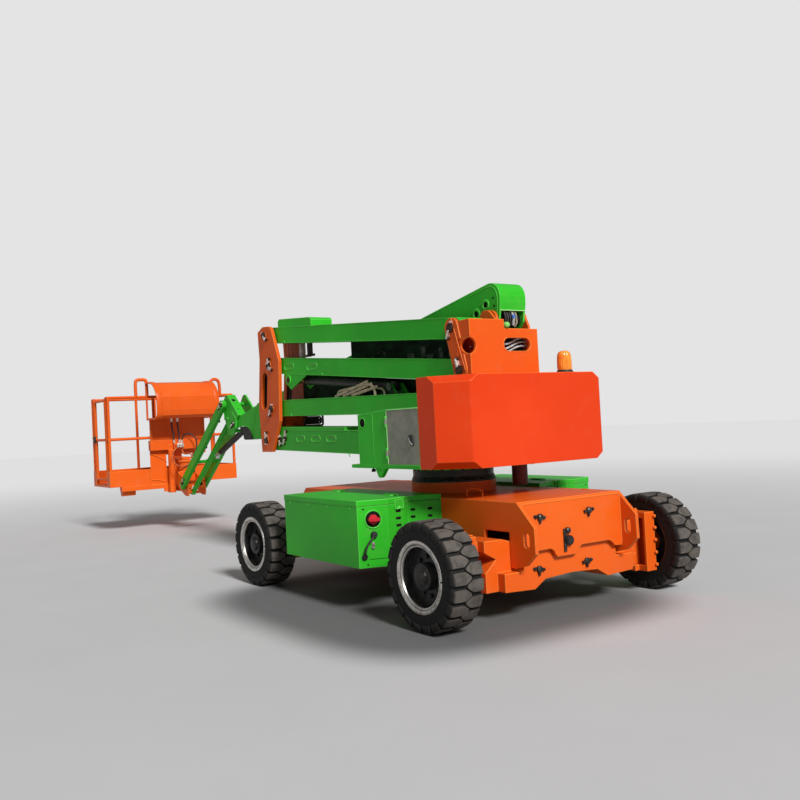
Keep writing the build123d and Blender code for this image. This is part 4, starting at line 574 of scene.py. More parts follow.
BLOCKS = 21
carcass = [
    (-0.118, 0.232), (-0.121, 0.262), (-0.1185, 0.300), (-0.117, 0.325), (-0.108, 0.331),
    (-0.090, 0.333), (0.090, 0.333), (0.108, 0.331), (0.117, 0.325), (0.1185, 0.300),
    (0.121, 0.262), (0.118, 0.232),
]
lock_ring = [
    (0.106, 0.2290), (0.112, 0.2340), (0.1205, 0.2325), (0.1225, 0.226), (0.1212, 0.214),
    (0.117, 0.2075), (0.106, 0.206),
]
gutter = [
    (0.098, 0.2055), (0.110, 0.2045), (0.1135, 0.200), (0.112, 0.193), (0.104, 0.190),
    (0.098, 0.192),
]
for corner in CORNERS:
    centre, outward = wheel_place(corner)
    body = "wheel_" + corner
    ring = turned(centre, "y", carcass, 96)
    casing = skin(
        "casing_" + corner, [ring], rubber.material, body, along=True, ends=False,
        mark=np.full(ring.shape[:2], 0.03),
    )
    for row, side, turn in (("outer", outward, 0.0), ("inner", -outward, 0.5)):
        grids, worn = tyre_blocks(centre, side, BLOCKS, turn)
        skin(f"tread_{row}_{corner}", grids, rubber.material, body,
             around=False, ends=False, mark=worn)
    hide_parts("tyre_" + corner)
    finish_of(wheel_enamel, "rim_" + corner)
    # lock ring with its split, and the gutter ring inside it
    split = 0.505 if outward > 0 else 0.995
    ring = turned(centre, "y", [(outward * r, q) for r, q in lock_ring], 96, (split, split + 0.992))
    skin("lock_ring_" + corner, [np.swapaxes(ring, 0, 1)], zinc, body)
    ring = turned(centre, "y", [(outward * r, q) for r, q in gutter], 96)
    skin("gutter_" + corner, [ring], zinc, body, along=True, ends=False)

# =====================================================================================
# Hubs
# Each wheel is held by ten forged nuts on a drum in the bottom of the dish. A turned cap of
# oiled dark steel closes the bore.
# =====================================================================================


def relief(outline, origin, across, upward, levels):
    """Rings of one outline that stand out from a flat face. Each level (inset, height)
    draws the outline in towards its middle by the inset, at that height off the face."""
    across, upward = np.array(across, float), np.array(upward, float)
    outline = np.array(outline, float)
    size = np.linalg.norm(outline, axis=1)[None, :, None]
    inset, height = np.array(levels, float).T[:, :, None, None]
    drawn = outline[None] * np.maximum(1 - inset / size, 0.02)
    on_face = drawn[..., :1] * across + drawn[..., 1:] * upward
    return np.array(origin, float) + on_face + height * np.cross(across, upward)


def ring_of(radius, steps):
    """A circle's outline, or with six steps a nut's."""
    turn = 2 * np.pi * np.arange(steps) / steps
    return radius * np.stack((np.cos(turn), np.sin(turn)), axis=-1)


def oblong(half_width, half_height, corner, steps=5):
    """A rectangle with round corners: four quarter circles joined by straight runs."""
    quarter = np.linspace(0, np.pi / 2, steps)
    turn = (quarter[None] + np.pi / 2 * np.arange(4)[:, None]).ravel()
    middles = np.array(((1, 1), (-1, 1), (-1, -1), (1, -1))) * (
        half_width - corner, half_height - corner,
    )
    quarters = corner * np.stack((np.cos(turn), np.sin(turn)), axis=-1)
    return np.repeat(middles, steps, axis=0) + quarters


def disc(radius, steps, origin, face, levels):
    """Rings of a circle, or of a nut with six steps, that stand out from a face."""
    return relief(ring_of(radius, steps), origin, *face, levels)


def slab(size, origin, face, levels):
    """Rings of an oblong that stand out from a face. size is what oblong needs."""
    return relief(oblong(*size), origin, *face, levels)


dark_steel = mottled(
    "dark_steel", (30.0, 6.0), (0.40, 0.70), (0.018, 0.017, 0.017), (0.060, 0.052, 0.046),
    (0.25, 0.35), grain=(160.0, 0.1, 0.001), Metallic=0.3, Specular_IOR_Level=0.35)

NUT = ((0.0, -0.002), (0.0, 0.016), (0.003, 0.019))
HUB_CAP = (
    (0.0, 0.088), (0.004, 0.084), (0.006, 0.060), (0.018, 0.056), (0.022, 0.050), (0.024, 0.012),
)
WASHER = ((0.0, -0.002), (0.0, 0.003), (0.002, 0.004))
for corner in CORNERS:
    centre, outward = wheel_place(corner)
    face = centre + (0, outward * 0.0925, 0)
    skin("hub_cap_" + corner, [turned(face, "y", [(outward * r, q) for r, q in HUB_CAP], 40)],
         dark_steel, "wheel_" + corner)
    grids = []
    for nut in range(10):
        at = math.radians(36 * nut + 12)
        spot = centre + (0.125 * math.cos(at), outward * 0.0305, 0.125 * math.sin(at))
        grids.append(disc(0.016, 6, spot, ((outward, 0, 0), (0, 0, -1)), NUT))
    skin("wheel_nuts_" + corner, grids, dark_steel, "wheel_" + corner)

# =====================================================================================
# Chassis and axles
# Profiled plates welded at their edges. Keepers of dark bolts hold the axle's lock pins and
# its trunnion on the end plate, and a bent-rod handle stands on the deck.
# =====================================================================================


def eased(points, rounds=3):
    """A polyline with its corners rounded: each round cuts every run at a quarter and at
    three quarters of its length and keeps the two ends."""
    path = np.array(points, float)
    for _ in range(rounds):
        early, late = 0.75 * path[:-1] + 0.25 * path[1:], 0.25 * path[:-1] + 0.75 * path[1:]
        inner = np.stack((early, late), axis=1).reshape(-1, 3)
        path = np.concatenate((path[:1], inner, path[-1:]))
    return path


def rod(path, radius, steps=10, upward=(0.05, 0.1, 1.0)):
    """A round bar along a path: circles square to it, on side = heading x upward and
    top = side x heading."""
    path = np.array(path, float)
    heading = np.gradient(path, axis=0)
    heading /= np.linalg.norm(heading, axis=1, keepdims=True)
    side = np.cross(heading, np.array(upward, float))
    side /= np.linalg.norm(side, axis=1, keepdims=True)
    top = np.cross(side, heading)
    turn = (2 * np.pi * np.arange(steps) / steps)[None, :, None]
    circles = np.cos(turn) * side[:, None] + np.sin(turn) * top[:, None]
    return path[:, None] + radius * circles


# A way up for rods that lie along the machine's sides.
SIDEWAYS = (0.1, 1.0, 0.05)


def weld(path, radius=0.005):
    """A weld bead: a rod whose radius swells by a tenth at each ripple."""
    path = np.array(path, float)
    steps = max(int(np.linalg.norm(path[-1] - path[0]) / 0.012), 4)
    share = np.linspace(0, 1, steps)[:, None]
    line = path[0] * (1 - share) + path[-1] * share
    ripple = 1 + 0.12 * np.cos(np.pi * np.arange(steps))[:, None, None]
    return line[:, None] + (rod(line, radius, 6) - line[:, None]) * ripple


# A face's ways across and up, as seen from outside the machine.
REAR, FRONT = ((0, -1, 0), (0, 0, 1)), ((0, 1, 0), (0, 0, 1))
LEFT, RIGHT = ((-1, 0, 0), (0, 0, 1)), ((1, 0, 0), (0, 0, 1))
TOP = ((1, 0, 0), (0, 1, 0))
keepers, glints = [], []
for y, z, x, flip in (
    (0.313, 0.667, -1.397, 1), (-0.146, 0.671, -1.397, -1), (0.308, 0.320, -1.3605, 1),
    (-0.143, 0.320, -1.3605, -1),
):
    keepers += [
        disc(0.024, 16, (x, y, z), REAR, ((0, -0.002), (0, 0.014), (0.004, 0.018))),
        slab((0.020, 0.011, 0.004), (x, y + 0.034 * flip, z + 0.006), REAR, WASHER),
        disc(0.011, 6, (x, y - 0.036 * flip, z - 0.004), REAR, NUT),
        disc(0.009, 6, (x, y + 0.040 * flip, z + 0.006), REAR, NUT),
        disc(0.008, 6, (x, y + 0.004, z - 0.033), REAR, NUT),
    ]
keepers += [
    disc(
        0.034, 20, (-1.397, 0.060, 0.490), REAR,
        ((0, -0.002), (0, 0.020), (0.005, 0.026), (0.016, 0.027)),
    ),
    disc(0.021, 16, (-1.397, 0.066, 0.556), REAR, ((0, -0.002), (0, 0.016), (0.004, 0.020))),
    slab(
        (0.011, 0.078, 0.006), (-1.397, 0.094, 0.492), REAR,
        ((0, -0.002), (0, 0.008), (0.003, 0.011)),
    ),
]
for y, z in ((0.066, 0.556), (0.313, 0.667), (-0.146, 0.671)):
    glints.append(disc(0.007, 6, (-1.415, y + 0.012, z + 0.010), REAR, ((0, -0.001), (0, 0.003))))
front_keepers = []
for y, z in ((0.313, 0.667), (-0.146, 0.671), (0.0, 0.545)):
    front_keepers.append(disc(
        0.028, 16, (1.397, y, z), FRONT, ((0, -0.002), (0, 0.014), (0.004, 0.018)),
    ))
skin("end_plate_keepers", keepers + front_keepers, dark_steel, "chassis")
skin("keeper_glints", glints, zinc, "chassis")
handle = (
    (-0.826, 0.294, 0.776), (-0.826, 0.294, 0.832), (-0.703, 0.335, 0.832), (-0.703, 0.335, 0.776),
)
skin("deck_handle", [rod(eased(handle), 0.006)], orange_enamel, "chassis")
beads = []
for side in (-1, 1):
    for x in (-1, 1):
        beads += [
            weld(((x * 1.375, side * 0.467, 0.7645), (x * 1.06, side * 0.467, 0.7795))),
            weld(((x * 1.397, side * 0.4675, 0.42), (x * 1.397, side * 0.4675, 0.76))),
        ]
    beads.append(weld(((-1.3605, side * 0.20, 0.505), (-1.3605, side * 0.42, 0.505)), 0.004))
beads += [
    weld(((-1.394, -0.462, 0.762), (-1.394, 0.462, 0.762)), 0.006),
    weld(((1.394, -0.462, 0.762), (1.394, 0.462, 0.762)), 0.006),
]
skin("chassis_welds", beads, orange_enamel, "chassis")
for side in (-1, 1):
    grids = []
    for z in (0.20, 0.29, 0.38, 0.47, 0.555):
        for x in (-1.328, -1.026):
            grids.append(disc(0.013, 6, (x, side * 0.90, z), REAR if x < -1.2 else FRONT, NUT))
    grids.append(disc(
        0.058, 28, (-1.177, side * 0.8275, 0.588), TOP,
        ((0, -0.001), (0, 0.010), (0.006, 0.014), (0.03, 0.015)),
    ))
    for turn in range(4):
        at = math.radians(45 + 90 * turn)
        grids.append(disc(
            0.008, 6, (-1.177 + 0.042 * math.cos(at), side * 0.8275 + 0.042 * math.sin(at), 0.602),
            TOP, ((0, -0.001), (0, 0.006), (0.002, 0.008)),
        ))
    skin("yoke_bolts_" + ("left" if side > 0 else "right"), grids, orange_enamel,
         "steer_knuckle_" + ("left" if side > 0 else "right"))

# =====================================================================================
# Side boxes
# Folded green sheet with lift-up lids. The left one carries the battery isolator behind a
# ring, a capped socket with its lead, a lock, and slots pressed through for air.
# =====================================================================================
# Flat black, for black parts and dark seams, and as painted shade in holes, slots and openings.
black_and_shade = mottled(
    "black_and_painted_shade", (40.0,), (0.3, 0.7), (0.004, 0.004, 0.004), (0.014, 0.013, 0.012),
    Roughness=0.9, Specular_IOR_Level=0.1)
knob_red = mottled(
    "knob_red", (60.0,), (0.3, 0.7), (0.45, 0.008, 0.020), (0.62, 0.020, 0.040),
    (0.15, 0.25), 90.0, Specular_IOR_Level=0.5, Coat_Weight=0.3)
moulded = mottled(
    "black_moulding", (25.0,), (0.35, 0.7), (0.010, 0.010, 0.011), (0.028, 0.027, 0.027),
    (0.2, 0.40), 50.0, (600.0, 0.2, 0.0005), Specular_IOR_Level=0.4)

FLAT = ((0.0, -0.002), (0.0, 0.0012), (0.001, 0.0016))
for side, box_name in ((1, "left"), (-1, "right")):
    sign = np.array((1, side, 1))
    plan = np.array((
        (-0.491, 1.159, 0), (-0.550, 0.940, 0), (-0.506, 0.730, 0), (-0.600, 0.494, 0),
    )) * sign
    corner_a, corner_b, corner_c = plan[:3]
    runs = np.diff(plan, axis=0)
    run_a, run_b, run_c = runs / np.linalg.norm(runs, axis=1, keepdims=True)
    face_a, face_b, face_c = ((run * side, np.array((0, 0, 1.0))) for run in (run_a, run_b, run_c))

    def on_a(along, height):
        """A point of the box's rear outer facet."""
        return corner_a + run_a * along + (0, 0, height)

    def on_b(along, height):
        """A point of the box's rear inner facet."""
        return corner_b + run_b * along + (0, 0, height)

    slots = [
        slab((0.027, 0.0095, 0.0094), on_b(0.112, z), face_b, FLAT)
        for z in (0.708, 0.657, 0.606, 0.555)
    ]
    slots += [
        slab((0.018, 0.0095, 0.0094), corner_c + run_c * along + (0, 0, z), face_c, FLAT)
        for along in (0.038, 0.166) for z in (0.705, 0.653)
    ]
    slots.append(slab(
        (0.118, 0.0016, 0.0015), corner_c + run_c * 0.127 + (0, 0, 0.766), face_c, FLAT,
    ))
    outer = ((-side, 0, 0), (0, 0, 1))
    seams = [
        slab((0.084, 0.0016, 0.0015), on_a(0.163, 0.390), face_a, FLAT),
        slab((0.0016, 0.026, 0.0015), on_a(0.222, 0.364), face_a, FLAT),
        disc(0.007, 12, on_a(0.064, 0.354), face_a, FLAT),
        disc(0.007, 12, on_a(0.046, 0.742), face_a, FLAT),
    ]
    # The slots are drawn black as painted shade in their openings; the seams, a hole and a screw
    # are dark marks.
    skin("box_slots_" + box_name, slots + seams, black_and_shade, "chassis")
    lip_pins = [
        disc(
            0.006, 12, (x, side * 1.1595, 0.745), outer,
            ((0, -0.001), (0.001, 0.003), (0.003, 0.004)),
        )
        for x in (-0.40, -0.10, 0.20, 0.47)
    ]
    skin("box_rivets_" + box_name, lip_pins, green_enamel, "chassis")
    # strap latch over the lid's lip
    strap = [
        slab(
            (0.047, 0.034, 0.008), on_b(0.122, 0.754), face_b,
            ((0, 0.0), (0, 0.0075), (0.002, 0.009), (0.008, 0.009), (0.009, 0.0065)),
        ),
        slab(
            (0.012, 0.008, 0.003), on_b(0.122, 0.728), face_b,
            ((0, 0.0), (0, 0.013), (0.002, 0.015)),
        ),
    ]
    skin("box_strap_" + box_name, strap, green_enamel, "chassis")
    if side < 0:
        continue
    well = disc(0.064, 40, on_a(0.116, 0.668), face_a, (
        (-0.004, -0.001), (-0.004, 0.003), (0.000, 0.007), (0.005, 0.007), (0.008, 0.003)))
    skin("isolator_ring", [well], green_enamel, "chassis", ends=False)
    skin(
        "isolator_well",
        [disc(0.058, 40, on_a(0.116, 0.668), face_a, ((0, -0.001), (0, 0.002), (0.006, 0.003)))],
        black_and_shade, "chassis",
    )
    key = [
        disc(0.034, 28, on_a(0.116, 0.668), face_a, ((0, 0.001), (0, 0.012), (0.004, 0.016))),
        slab(
            (0.043, 0.013, 0.010), on_a(0.116, 0.668), face_a,
            ((0, 0.014), (0.002, 0.036), (0.006, 0.040)),
        ),
    ]
    skin("isolator_key", key, knob_red, "chassis")
    sockets = [
        disc(
            0.023, 24, on_a(0.116, 0.562), face_a,
            ((0, -0.001), (0, 0.020), (0.005, 0.026), (0.012, 0.027)),
        ),
        disc(
            0.021, 24, on_a(0.041, 0.411), face_a,
            ((0, -0.001), (0, 0.014), (0.005, 0.019), (0.011, 0.020)),
        ),
    ]
    skin("socket_caps", sockets, moulded, "chassis")
    skin(
        "box_lock",
        [
            slab(
                (0.012, 0.026, 0.011), on_a(0.108, 0.486), face_a,
                ((0, -0.001), (0, 0.008), (0.003, 0.011)),
            ),
            disc(
                0.010, 16, on_a(0.110, 0.496), face_a, ((0, 0.008), (0.001, 0.017), (0.003, 0.019)),
            ),
        ],
        zinc, "chassis",
    )

# =====================================================================================
# Turntable
# Hoods of folded green sheet stand on a thick floor plate. Their doors are scratched bare
# sheet with a seal round the opening, and a beacon stands on the counterweight.
# =====================================================================================
door_sheet = Finish("door_sheet", Metallic=0.25, Specular_IOR_Level=0.4)
mottle = door_sheet.ramp(door_sheet.noise(9.0, detail=9.0, rough=0.7), 0.36, 0.68)
scratch = door_sheet.ramp(
    door_sheet.noise(26.0, detail=5.0, rough=0.6, stretch=(1, 1, 0.12)), 0.60, 0.72,
)
stained = door_sheet.mix(mottle, (0.20, 0.20, 0.155), (0.285, 0.275, 0.235))
door_sheet.set(Base_Color=door_sheet.mix(scratch * 0.5, stained, (0.40, 0.38, 0.30)))
door_sheet.set(Roughness=mottle * 0.15 + 0.42, Normal=door_sheet.bump(scratch, 0.15, 0.001))
finish_of(door_sheet.material, "turntable_door_left", "turntable_door_right")
finish_of(
    dark_steel, "slew_ring", "riser_cylinder_barrel", "boom_cylinder_barrel", "jib_cylinder_barrel",
)
finish_of(moulded, "battery_pack")
drive_paint = mottled(
    "drive_paint", (18.0,), (0.35, 0.7), (0.10, 0.012, 0.008), (0.17, 0.026, 0.014),
    (0.2, 0.40), 40.0, Specular_IOR_Level=0.35)
finish_of(drive_paint, "slew_drive")
chrome = mottled(
    "hard_chrome", (30.0,), (0.4, 0.7), (0.74, 0.74, 0.75), (0.60, 0.59, 0.58),
    (0.10, 0.10), 70.0, Metallic=1.0)
finish_of(chrome, "riser_cylinder_rod", "boom_cylinder_rod", "jib_cylinder_rod")
rim_enamel = enamel("rim_enamel", (0.26, 0.66, 0.17), (0.18, 0.56, 0.12), (0.50, 0.85, 0.40))

seal_grids, latch_grids, lever_grids, seam_grids, hole_grids = [], [], [], [], []
for side, face in ((1, LEFT), (-1, RIGHT)):
    y = side * 0.790
    seal = eased(
        ((-0.3835, y, 1.036), (-0.3835, y, 1.4315), (-0.3865, y, 1.4325), (-0.762, y, 1.4325)), 2,
    )
    seal_grids.append(rod(seal + (0, side * 0.001, 0), 0.0038, 6, upward=SIDEWAYS))
    latch_grids += [
        slab(
            (0.016, 0.034, 0.012), (-0.685, y, 1.201), face,
            ((0, -0.001), (0, 0.006), (0.003, 0.009)),
        ),
        slab(
            (0.018, 0.010, 0.006), (-0.672, y, 1.236), face,
            ((0, -0.001), (0, 0.010), (0.003, 0.013)),
        ),
    ]
    lever_grids.append(rod(
        (
            (-0.668, y + side * 0.016, 1.228), (-0.684, y + side * 0.022, 1.202),
            (-0.702, y + side * 0.016, 1.176),
        ),
        0.0055, 8,
    ))
    seam_grids.append(slab(
        (0.0022, 0.186, 0.002), (-0.200, y, 1.225), face,
        ((0, -0.001), (0, 0.0016), (0.001, 0.002)),
    ))
    # a black disc as painted shade in the hood's hole
    hole_grids.append(disc(0.033, 32, (-0.063, y, 1.348), face, FLAT))
    seam_grids.append(disc(
        0.040, 32, (-0.063, y, 1.348), face,
        ((0, -0.001), (0, 0.002), (0.003, 0.003), (0.007, 0.001)),
    ))
    # tapered tie-down lug and a rubber buffer under the floor plate
    lug = (
        (-0.333, 1.0035), (-0.202, 1.0035), (-0.228, 0.955), (-0.240, 0.936), (-0.256, 0.933),
        (-0.272, 0.941),
    )
    grid = np.array([[(x, side * (0.785 - inset), z) for x, z in lug] for inset in (0.0, 0.035)])
    seam_grids.append(grid)
    hole_grids.append(turned(
        (-0.163, side * 0.775, 0.0), "z",
        ((0.975, 0.012), (0.980, 0.017), (0.994, 0.017), (0.997, 0.009), (1.004, 0.009)), 16,
    ))
skin("door_seals", seal_grids, rim_enamel, "turntable")
skin("door_latches", latch_grids, moulded, "turntable")
skin("latch_levers", lever_grids, chrome, "turntable")
skin("hood_seams", seam_grids, green_enamel, "turntable")
skin("hood_holes", hole_grids, black_and_shade, "turntable")
ring_bolts = [
    turned(
        (-0.150 + 0.306 * math.cos(turn), 0.306 * math.sin(turn), 0), "z",
        ((0.949, 0.011), (0.958, 0.011), (0.960, 0.009)), 6,
    )
    for turn in np.radians(np.arange(5, 365, 15))
]
flange = [turned(
    (-0.150, 0, 0), "z",
    ((0.8575, 0.334), (0.8575, 0.3345), (0.870, 0.3345), (0.876, 0.330), (0.900, 0.3225)), 72,
)]
skin("ring_bolts", ring_bolts, dark_steel, "chassis")
skin("ring_flange", flange, dark_steel, "chassis", ends=False)

amber = mottled(
    "amber_lens", (20.0,), (0.3, 0.7), (0.86, 0.22, 0.012), (0.95, 0.36, 0.03),
    (0.1, 0.15), 60.0, Specular_IOR_Level=0.6, Coat_Weight=0.6, Subsurface_Weight=0.2)
dome = np.array((
    (1.664, 0.049), (1.668, 0.052), (1.700, 0.0535), (1.745, 0.053), (1.785, 0.050), (1.806, 0.042),
    (1.816, 0.028), (1.8195, 0.006),
))
BEACON = np.array((-0.925, -0.500, 0))
glass = turned(BEACON, "z", dome, 72)
flutes = (1 + 0.018 * np.cos(np.arange(72) * 2 * np.pi / 3))[None, :, None]
glass[1:6, :, :2] = (glass[1:6, :, :2] - BEACON[:2]) * flutes + BEACON[:2]
beacon_lens = skin("beacon_lens", [glass], amber, "turntable")
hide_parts("beacon")
beacon_base = [turned(
    BEACON, "z",
    (
        (1.6425, 0.050), (1.6425, 0.078), (1.646, 0.080), (1.652, 0.070), (1.660, 0.060),
        (1.668, 0.0575), (1.672, 0.055), (1.672, 0.030),
    ),
    40,
)]
skin("beacon_base", beacon_base, moulded, "turntable")

# =====================================================================================
# Riser
# Four welded box arms with slots pressed in their sides, and pins held by bolted keeper
# plates. Dark green sheets of painted shade stand between the arms, with small fittings and a line
# on the upper one.
# =====================================================================================
PIVOTS = {
    "riser_1": ((-0.470, 1.150), (2.430, 1.222)), "riser_2": ((-0.610, 1.470), (2.290, 1.542)),
    "riser_3": ((-0.680, 1.700), (2.300, 1.982)), "riser_4": ((-0.600, 2.020), (2.380, 2.302)),
}
HALF_DEPTH = {"riser_1": 0.105, "riser_2": 0.081, "riser_3": 0.081, "riser_4": 0.081}
PRESSED = (
    (-0.005, -0.001), (-0.003, 0.0022), (0.001, 0.0035), (0.005, 0.0022), (0.008, 0.0008),
    (0.012, 0.0006),
)


def on_arm(name, x, share=0.0):
    """Height on an arm's side at an x, at a share of its half depth off the pivots' line."""
    (rear_x, rear_z), (front_x, front_z) = PIVOTS[name]
    slope = (front_z - rear_z) / (front_x - rear_x)
    return rear_z + (x - rear_x) * slope + share * HALF_DEPTH[name]


# arm, slot centres (x, z), slot half width, collar x, collar's share of depth at top and bottom
ARM_DETAILS = (
    ("riser_1", ((1.811, 1.226), (1.521, 1.222), (1.239, 1.218)), 0.086, 0.944, 1.0, -1.25),
    ("riser_2", (), 0.0, 1.969, 1.0, -1.0),
    ("riser_3", ((1.975, 1.946), (1.525, 1.909)), 0.097, 1.340, 1.0, -1.0),
    ("riser_4", (), 0.0, 2.045, 1.0, -1.0),
)
for name, slots, half_width, collar, high, low in ARM_DETAILS:
    grids, beads = [], []
    for y, face in ((0.278, LEFT), (0.042, RIGHT)):
        out = 1 if face is LEFT else -1
        for x, z in slots:
            grids.append(slab((half_width, 0.030, 0.029, 7), (x, y, z), face, PRESSED))
        for first, last in ((high, high - 0.35), (low, low + 0.30)):
            beads.append(weld((
                (collar - 0.012 * (high > 0), y + out * 0.001, on_arm(name, collar, first)),
                (collar + 0.006, y + out * 0.001, on_arm(name, collar, last))), 0.0045))
        rear_x, front_x = PIVOTS[name][0][0] + 0.10, PIVOTS[name][1][0] - 0.10
        for share in (0.97, -0.97):
            line = (
                (rear_x, y, on_arm(name, rear_x, share)),
                (front_x, y, on_arm(name, front_x, share)),
            )
            beads.append(rod(np.linspace(*np.array(line), 8), 0.0028, 6))
    if grids:
        skin(name + "_slots", grids, green_enamel, name)
    skin(name + "_seams", beads, green_enamel, name)

pin_dark = Finish("pin_steel", Metallic=0.5, Specular_IOR_Level=0.4)
rust = pin_dark.ramp(pin_dark.noise(45.0, detail=6.0), 0.40, 0.70)
pin_dark.set(Base_Color=pin_dark.mix(rust, (0.030, 0.018, 0.013), (0.095, 0.050, 0.032)))
pin_dark.set(Roughness=rust * 0.25 + 0.35, Normal=pin_dark.bump(rust, 0.2, 0.001))
keeper_steel = mottled(
    "keeper_steel", (50.0,), (0.4, 0.7), (0.86, 0.82, 0.76), (0.50, 0.44, 0.38),
    (0.2, 0.25), 60.0, Metallic=0.7)


def pin_with_keeper(origin, across, upward, towards, radius=0.036):
    """A pin's chamfered head, its keeper plate and the two bolts beside it. towards is the
    keeper's run on the face, from the pin's centre to its far bolt."""
    origin, across, upward = (np.array(q, float) for q in (origin, across, upward))
    towards = np.array(towards, float)
    run = towards / np.linalg.norm(towards)
    face = across * run[0] + upward * run[1], upward * run[0] - across * run[1]
    far = origin + across * towards[0] + upward * towards[1]
    heads = [
        disc(radius, 24, origin, face, ((0, -0.002), (0, 0.012), (0.005, 0.017), (0.014, 0.018))),
        disc(0.017, 6, far, face, ((0, -0.006), (0, 0.016), (0.003, 0.018))),
    ]
    bars = [
        slab(
            (0.030, 0.0085, 0.003), origin + (far - origin) * 0.62, face,
            ((0, -0.004), (0, 0.020), (0.002, 0.023)),
        ),
        disc(0.008, 12, far, face, ((0, 0.017), (0, 0.022), (0.002, 0.024))),
        disc(
            0.009, 12, origin - (far - origin) * 0.55, face,
            ((0, -0.006), (0, 0.019), (0.002, 0.021)),
        ),
    ]
    return heads, bars


def keep_pins(name, body, faces, pins, radius=0.036):
    """A body's pin heads as one piece and their keepers as another. Each pin has its (x, z)
    and its keeper's run on the left face, which the right face mirrors. faces are the
    distances across the machine at which the pins end, each with its face."""
    heads, bars = [], []
    for place, (run, climb) in pins:
        for y, face in faces:
            mirror = 1 if face is LEFT else -1
            more = pin_with_keeper((place[0], y, place[1]), *face, (run * mirror, climb), radius)
            heads += more[0]
            bars += more[1]
    skin(name + "_pins", heads, pin_dark.material, body)
    skin(name + "_keepers", bars, keeper_steel, body)


keep_pins("mid_link", "mid_link", ((0.332, LEFT), (-0.006, RIGHT)), (
    ((2.380, 2.302), (0.042, -0.050)), ((2.300, 1.982), (0.052, -0.048)),
    ((2.300, 1.982), (0.006, 0.066)), ((2.290, 1.542), (-0.036, -0.068)),
    ((2.430, 1.222), (0.004, 0.074)),
))
keep_pins("arm", "riser_1", ((0.278, LEFT),), (
    ((2.222, 1.222), (0.0, -0.055)), ((2.222, 1.222), (-0.045, 0.074)),
    ((2.119, 1.232), (-0.020, -0.052)), ((2.119, 1.232), (0.030, 0.070)),
), 0.029)
boss = [disc(
    0.052, 32, (1.995, 0.278, 1.812), LEFT,
    ((0, -0.002), (0, 0.006), (0.004, 0.009), (0.018, 0.009), (0.022, 0.004)),
)]
skin("cylinder_bosses", boss, green_enamel, "riser_3")
skin("cylinder_pin_heads", [
    disc(0.030, 24, (1.990, 0.278, 1.812), LEFT, ((0, 0.0), (0, 0.012), (0.005, 0.015)))
], pin_dark.material, "riser_3")

# slot flap of the mid link, and the dark sheets of painted shade between the arms
shaded = mottled(
    "painted_shade_sheet", (5.0, 6.0, 0.6, (1, 1, 2.5)), (0.38, 0.66), (0.004, 0.008, 0.005),
    (0.010, 0.040, 0.014), Specular_IOR_Level=0.15, Roughness=0.75)
LINK_FACE = ((-0.9902, 0, -0.1397), (-0.1397, 0, 0.9902))
flap = slab(
    (0.062, 0.200, 0.060, 6), (2.4405, 0.2895, 1.731), LINK_FACE, ((0, -0.0035), (0, -0.0005)),
)
skin("slot_flap", [flap], black_and_shade, "mid_link")


def panel(corners, y, thickness=0.006):
    """A flat plate at a distance across the machine, from its corners in side view."""
    return np.array([[(x, y + reach, z) for x, z in corners] for reach in (0.0, -thickness)])


def strip_of(name, x, share=0.0, lift=0.0):
    """A corner of a panel: an x, and the height on an arm there plus a lift."""
    return x, on_arm(name, x, share) + lift


lower_shade_sheet = [
    strip_of("riser_2", 0.02, 1.0, -0.004), strip_of("riser_2", 2.10, 1.0, -0.004),
    strip_of("riser_3", 2.10, -1.0, -0.075), strip_of("riser_3", 1.62, -1.0, -0.012),
    strip_of("riser_3", 0.02, -1.0, -0.012),
]
skin("lower_shade_sheet", [panel(lower_shade_sheet, 0.054)], shaded, "riser_2")
upper_shade_sheet = [
    strip_of("riser_3", -0.38, 0.8), strip_of("riser_3", 1.20, 0.8),
    strip_of("riser_4", 1.20, -0.8), strip_of("riser_4", -0.38, -0.8),
]
skin("upper_shade_sheet", [panel(upper_shade_sheet, 0.034)], shaded, "riser_3")
shade_sheet_fittings = []
for x, z, width, height in (
    (0.28, 1.885, 0.050, 0.030), (0.11, 1.912, 0.030, 0.046), (0.02, 1.868, 0.040, 0.018),
    (-0.12, 1.880, 0.026, 0.040), (-0.24, 1.860, 0.020, 0.020),
):
    shade_sheet_fittings.append(slab(
        (width, height, 0.010), (x, 0.034, z), LEFT, ((0, -0.001), (0, 0.003), (0.002, 0.0045)),
    ))
fitting_grey = mottled(
    "fitting_grey", (30.0,), (0.4, 0.6), (0.02, 0.035, 0.022), (0.11, 0.13, 0.10),
    Specular_IOR_Level=0.3, Roughness=0.6)
skin("shade_sheet_fittings", shade_sheet_fittings, fitting_grey, "riser_3")
line = (
    (1.02, 0.036, 1.905), (0.80, 0.037, 1.945), (0.70, 0.037, 1.985), (0.655, 0.037, 1.955),
    (0.650, 0.036, 1.890),
)
skin("shade_sheet_line", [rod(eased(line), 0.0045, 8)], fitting_grey, "riser_3")

# flat spiral guards of the hoses on the second arm
guards = []
for (x0, z0), (x1, z1), y in (
    ((1.145, 1.600), (0.600, 1.706), 0.268), ((1.010, 1.598), (0.545, 1.683), 0.266),
    ((0.865, 1.596), (0.470, 1.650), 0.268),
):
    line = np.linspace((x0, y, z0), (x1, y, z1), 60)
    twist = (1 + 0.09 * np.cos(np.arange(60) * np.pi))[:, None, None]
    guards.append(line[:, None] + (rod(line, 0.0105, 8) - line[:, None]) * twist * (1, 0.6, 1.25))
skin("hose_guards", guards, tan_hose, "riser_2")
